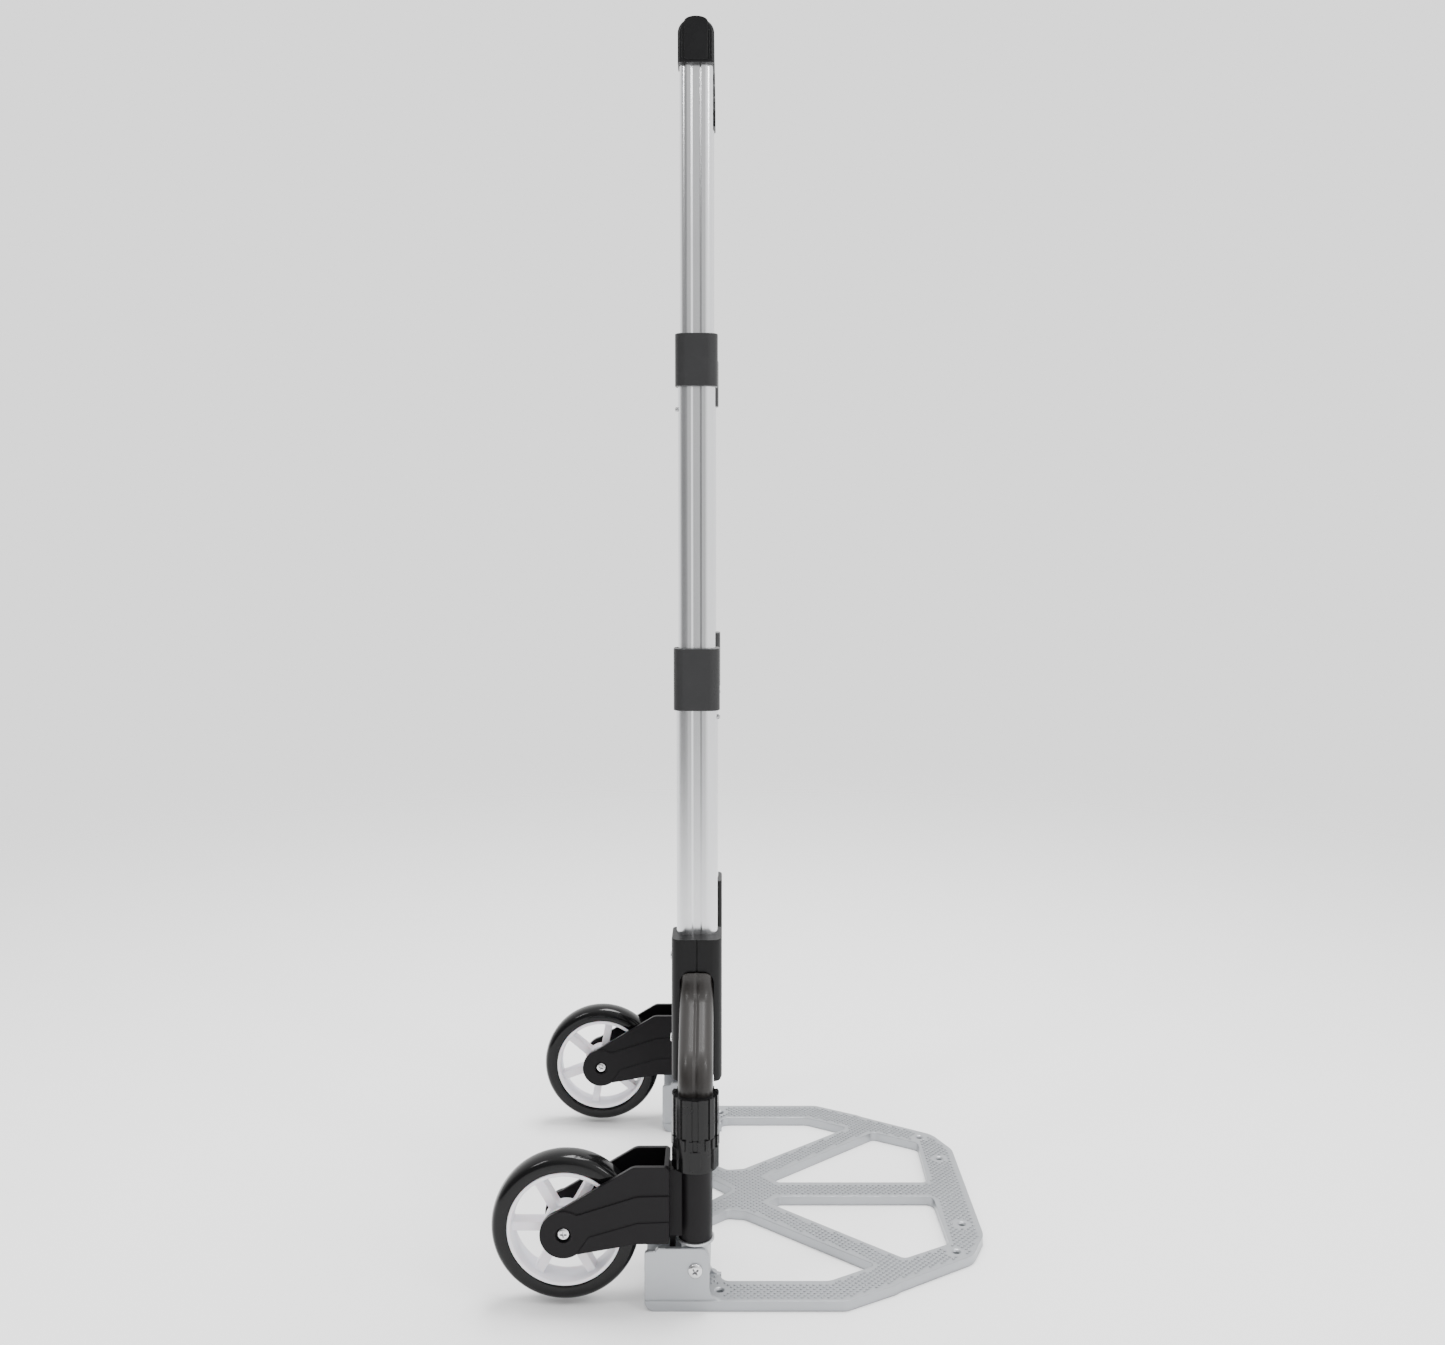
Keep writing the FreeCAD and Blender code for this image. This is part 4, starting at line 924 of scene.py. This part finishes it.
# ---- grip ends ---------------------------------------------------------------------
class HANDTRUCK_OT_grip_ends(Operator):
    """Raised end caps with upright ribs on the grip"""

    bl_idname = "handtruck.grip_ends"
    bl_label = "Grip ends"

    def execute(self, context):
        sizes = context.scene.hand_truck_sizes
        low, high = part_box("grip")
        middle = (low + high) / 2
        half = sizes.cap_width / 2
        foot, top = low.z + CAP_FOOT, high.z + sizes.cap_rise
        panel = [(-half, foot), (half, foot)]
        panel += [(half * math.cos(a), top - sizes.cap_crown * (1 - math.sin(a)))
                  for a in (math.pi * i / 20 for i in range(21))]
        rib_half, rib_foot, rib_top = 0.0006, low.z + 0.003, high.z - 0.0105
        rib = [(-rib_half, rib_foot), (rib_half, rib_foot), (rib_half, rib_top), (-rib_half, rib_top)]
        pieces = []
        for end in (low.y, high.y):
            way = math.copysign(1.0, end)
            pieces.append(plate_piece(panel, middle.x, end - way * CAP_DEPTH, end + way * sizes.cap_rise))
            for x in (-half - 0.0022, half + 0.0012, half + 0.0032):
                pieces.append(plate_piece(rib, middle.x + x, end - way * CAP_DEPTH, end + way * RIB_RISE))
        caps = join(pieces, "grip_end_caps")
        smooth_by_angle(caps.data, 35)
        attach(caps, "upper_stage", "grip_plastic")
        return {"FINISHED"}


def plate_piece(outline, x, y0, y1):
    """An (x, z) outline moved along X and given thickness between two Y values, with bevelled edges."""
    def build(bm):
        near = [bm.verts.new((x + u, y0, v)) for u, v in outline]
        far = [bm.verts.new((x + u, y1, v)) for u, v in outline]
        bm.faces.new(near)
        bm.faces.new(list(reversed(far)))
        bridge(bm, far, near)
        edges = [e for e in bm.edges if all(v in far for v in e.verts)]
        bmesh.ops.bevel(bm, geom=edges, offset=CAP_BEVEL, segments=2, affect="EDGES")
    return mesh_from("plate_piece", build)


# ---- stage -------------------------------------------------------------------------
def area_light(name, place, target, size, power):
    """A soft rectangular light of some width and height, aimed at a point."""
    light = bpy.data.lights.new(name, "AREA")
    light.shape = "RECTANGLE"
    light.size, light.size_y = size
    light.energy = power
    item = new_object(name, light)
    item.location = place
    item.rotation_euler = (Vector(target) - Vector(place)).to_track_quat("-Z", "Y").to_euler()


def studio_air():
    """A soft white surround with one dark side, so that metal and gloss show their shape."""
    world = bpy.data.worlds.new("studio_air")
    world.use_nodes = True
    tree = world.node_tree
    way = tree.nodes.new("ShaderNodeTexCoord").outputs["Generated"]
    dot = tree.nodes.new("ShaderNodeVectorMath")
    dot.operation = "DOT_PRODUCT"
    tree.links.new(way, dot.inputs[0])
    dot.inputs[1].default_value = (-0.70, -0.71, 0.0)
    level = tree.nodes.new("ShaderNodeMapRange")
    level.interpolation_type = "SMOOTHSTEP"
    tree.links.new(dot.outputs["Value"], level.inputs["Value"])
    for key, value in (("From Min", 0.30), ("From Max", 0.97), ("To Min", 1.65), ("To Max", 0.27)):
        level.inputs[key].default_value = value
    background = tree.nodes["Background"]
    background.inputs["Color"].default_value = (1.0, 1.0, 1.0, 1.0)
    tree.links.new(level.outputs["Result"], background.inputs["Strength"])
    return world


class HANDTRUCK_OT_stage(Operator):
    """Pale floor, soft studio light and the camera"""

    bl_idname = "handtruck.stage"
    bl_label = "Stage"

    def execute(self, context):
        scene = context.scene
        reach = 12.0
        corners = [(x * reach, y * reach, 0.0) for x, y in ((-1, -1), (1, -1), (1, 1), (-1, 1))]
        floor = mesh_from("studio_floor", lambda bm: bm.faces.new([bm.verts.new(p) for p in corners]))
        floor.data.materials.append(floor_finish("studio_floor", scene.hand_truck_colours.floor))
        scene.world = studio_air()
        centre = (0.0, 0.0, 0.5)
        area_light("overhead_softbox", (0.2, 0.35, 2.7), centre, (1.1, 1.1), 95.0)
        area_light("left_highlight", (-1.5, -1.1, 2.0), centre, (0.3, 0.8), 14.0)
        area_light("right_highlight", (1.6, -1.3, 2.0), centre, (0.3, 0.8), 14.0)
        camera = new_object("camera", bpy.data.cameras.new("camera"))
        scene.camera = camera
        camera.data.sensor_width = 36.0
        camera.data.lens = 34.26
        camera.data.shift_y = -0.04
        upright_x = sum(v.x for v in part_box("lower_tube_left")) / 2
        ahead, distance, eye_height, degrees_down = 0.023, 1.325, 0.658, 3.42
        camera.location = (upright_x + ahead, -distance, eye_height)
        camera.rotation_euler = (math.radians(90.0 - degrees_down), 0.0, 0.0)
        return {"FINISHED"}


class HANDTRUCK_PT_panel(Panel):
    """Lists the steps that build the truck"""

    bl_idname = "HANDTRUCK_PT_panel"
    bl_label = "Hand truck"
    bl_space_type = "VIEW_3D"
    bl_region_type = "UI"
    bl_category = "Hand truck"

    def draw(self, context):
        column = self.layout.column()
        for operator in OPERATORS:
            column.operator(operator.bl_idname)
        for group in (context.scene.hand_truck_sizes, context.scene.hand_truck_colours):
            for key in group.__annotations__:
                column.prop(group, key)


OPERATORS = (HANDTRUCK_OT_finishes, HANDTRUCK_OT_wheels, HANDTRUCK_OT_plate_dots, HANDTRUCK_OT_screws,
             HANDTRUCK_OT_grip_ends, HANDTRUCK_OT_stage)
CLASSES = (HANDTRUCK_PG_sizes, HANDTRUCK_PG_colours, *OPERATORS, HANDTRUCK_PT_panel)


def register():
    for kind in CLASSES:
        bpy.utils.register_class(kind)
    bpy.types.Scene.hand_truck_sizes = PointerProperty(type=HANDTRUCK_PG_sizes)
    bpy.types.Scene.hand_truck_colours = PointerProperty(type=HANDTRUCK_PG_colours)


def unregister():
    del bpy.types.Scene.hand_truck_colours
    del bpy.types.Scene.hand_truck_sizes
    for kind in reversed(CLASSES):
        bpy.utils.unregister_class(kind)


def main():
    register()
    bpy.ops.handtruck.finishes()
    bpy.ops.handtruck.wheels()
    bpy.ops.handtruck.plate_dots()
    bpy.ops.handtruck.screws()
    bpy.ops.handtruck.grip_ends()
    bpy.ops.handtruck.stage()


if __name__ == "__main__":
    main()
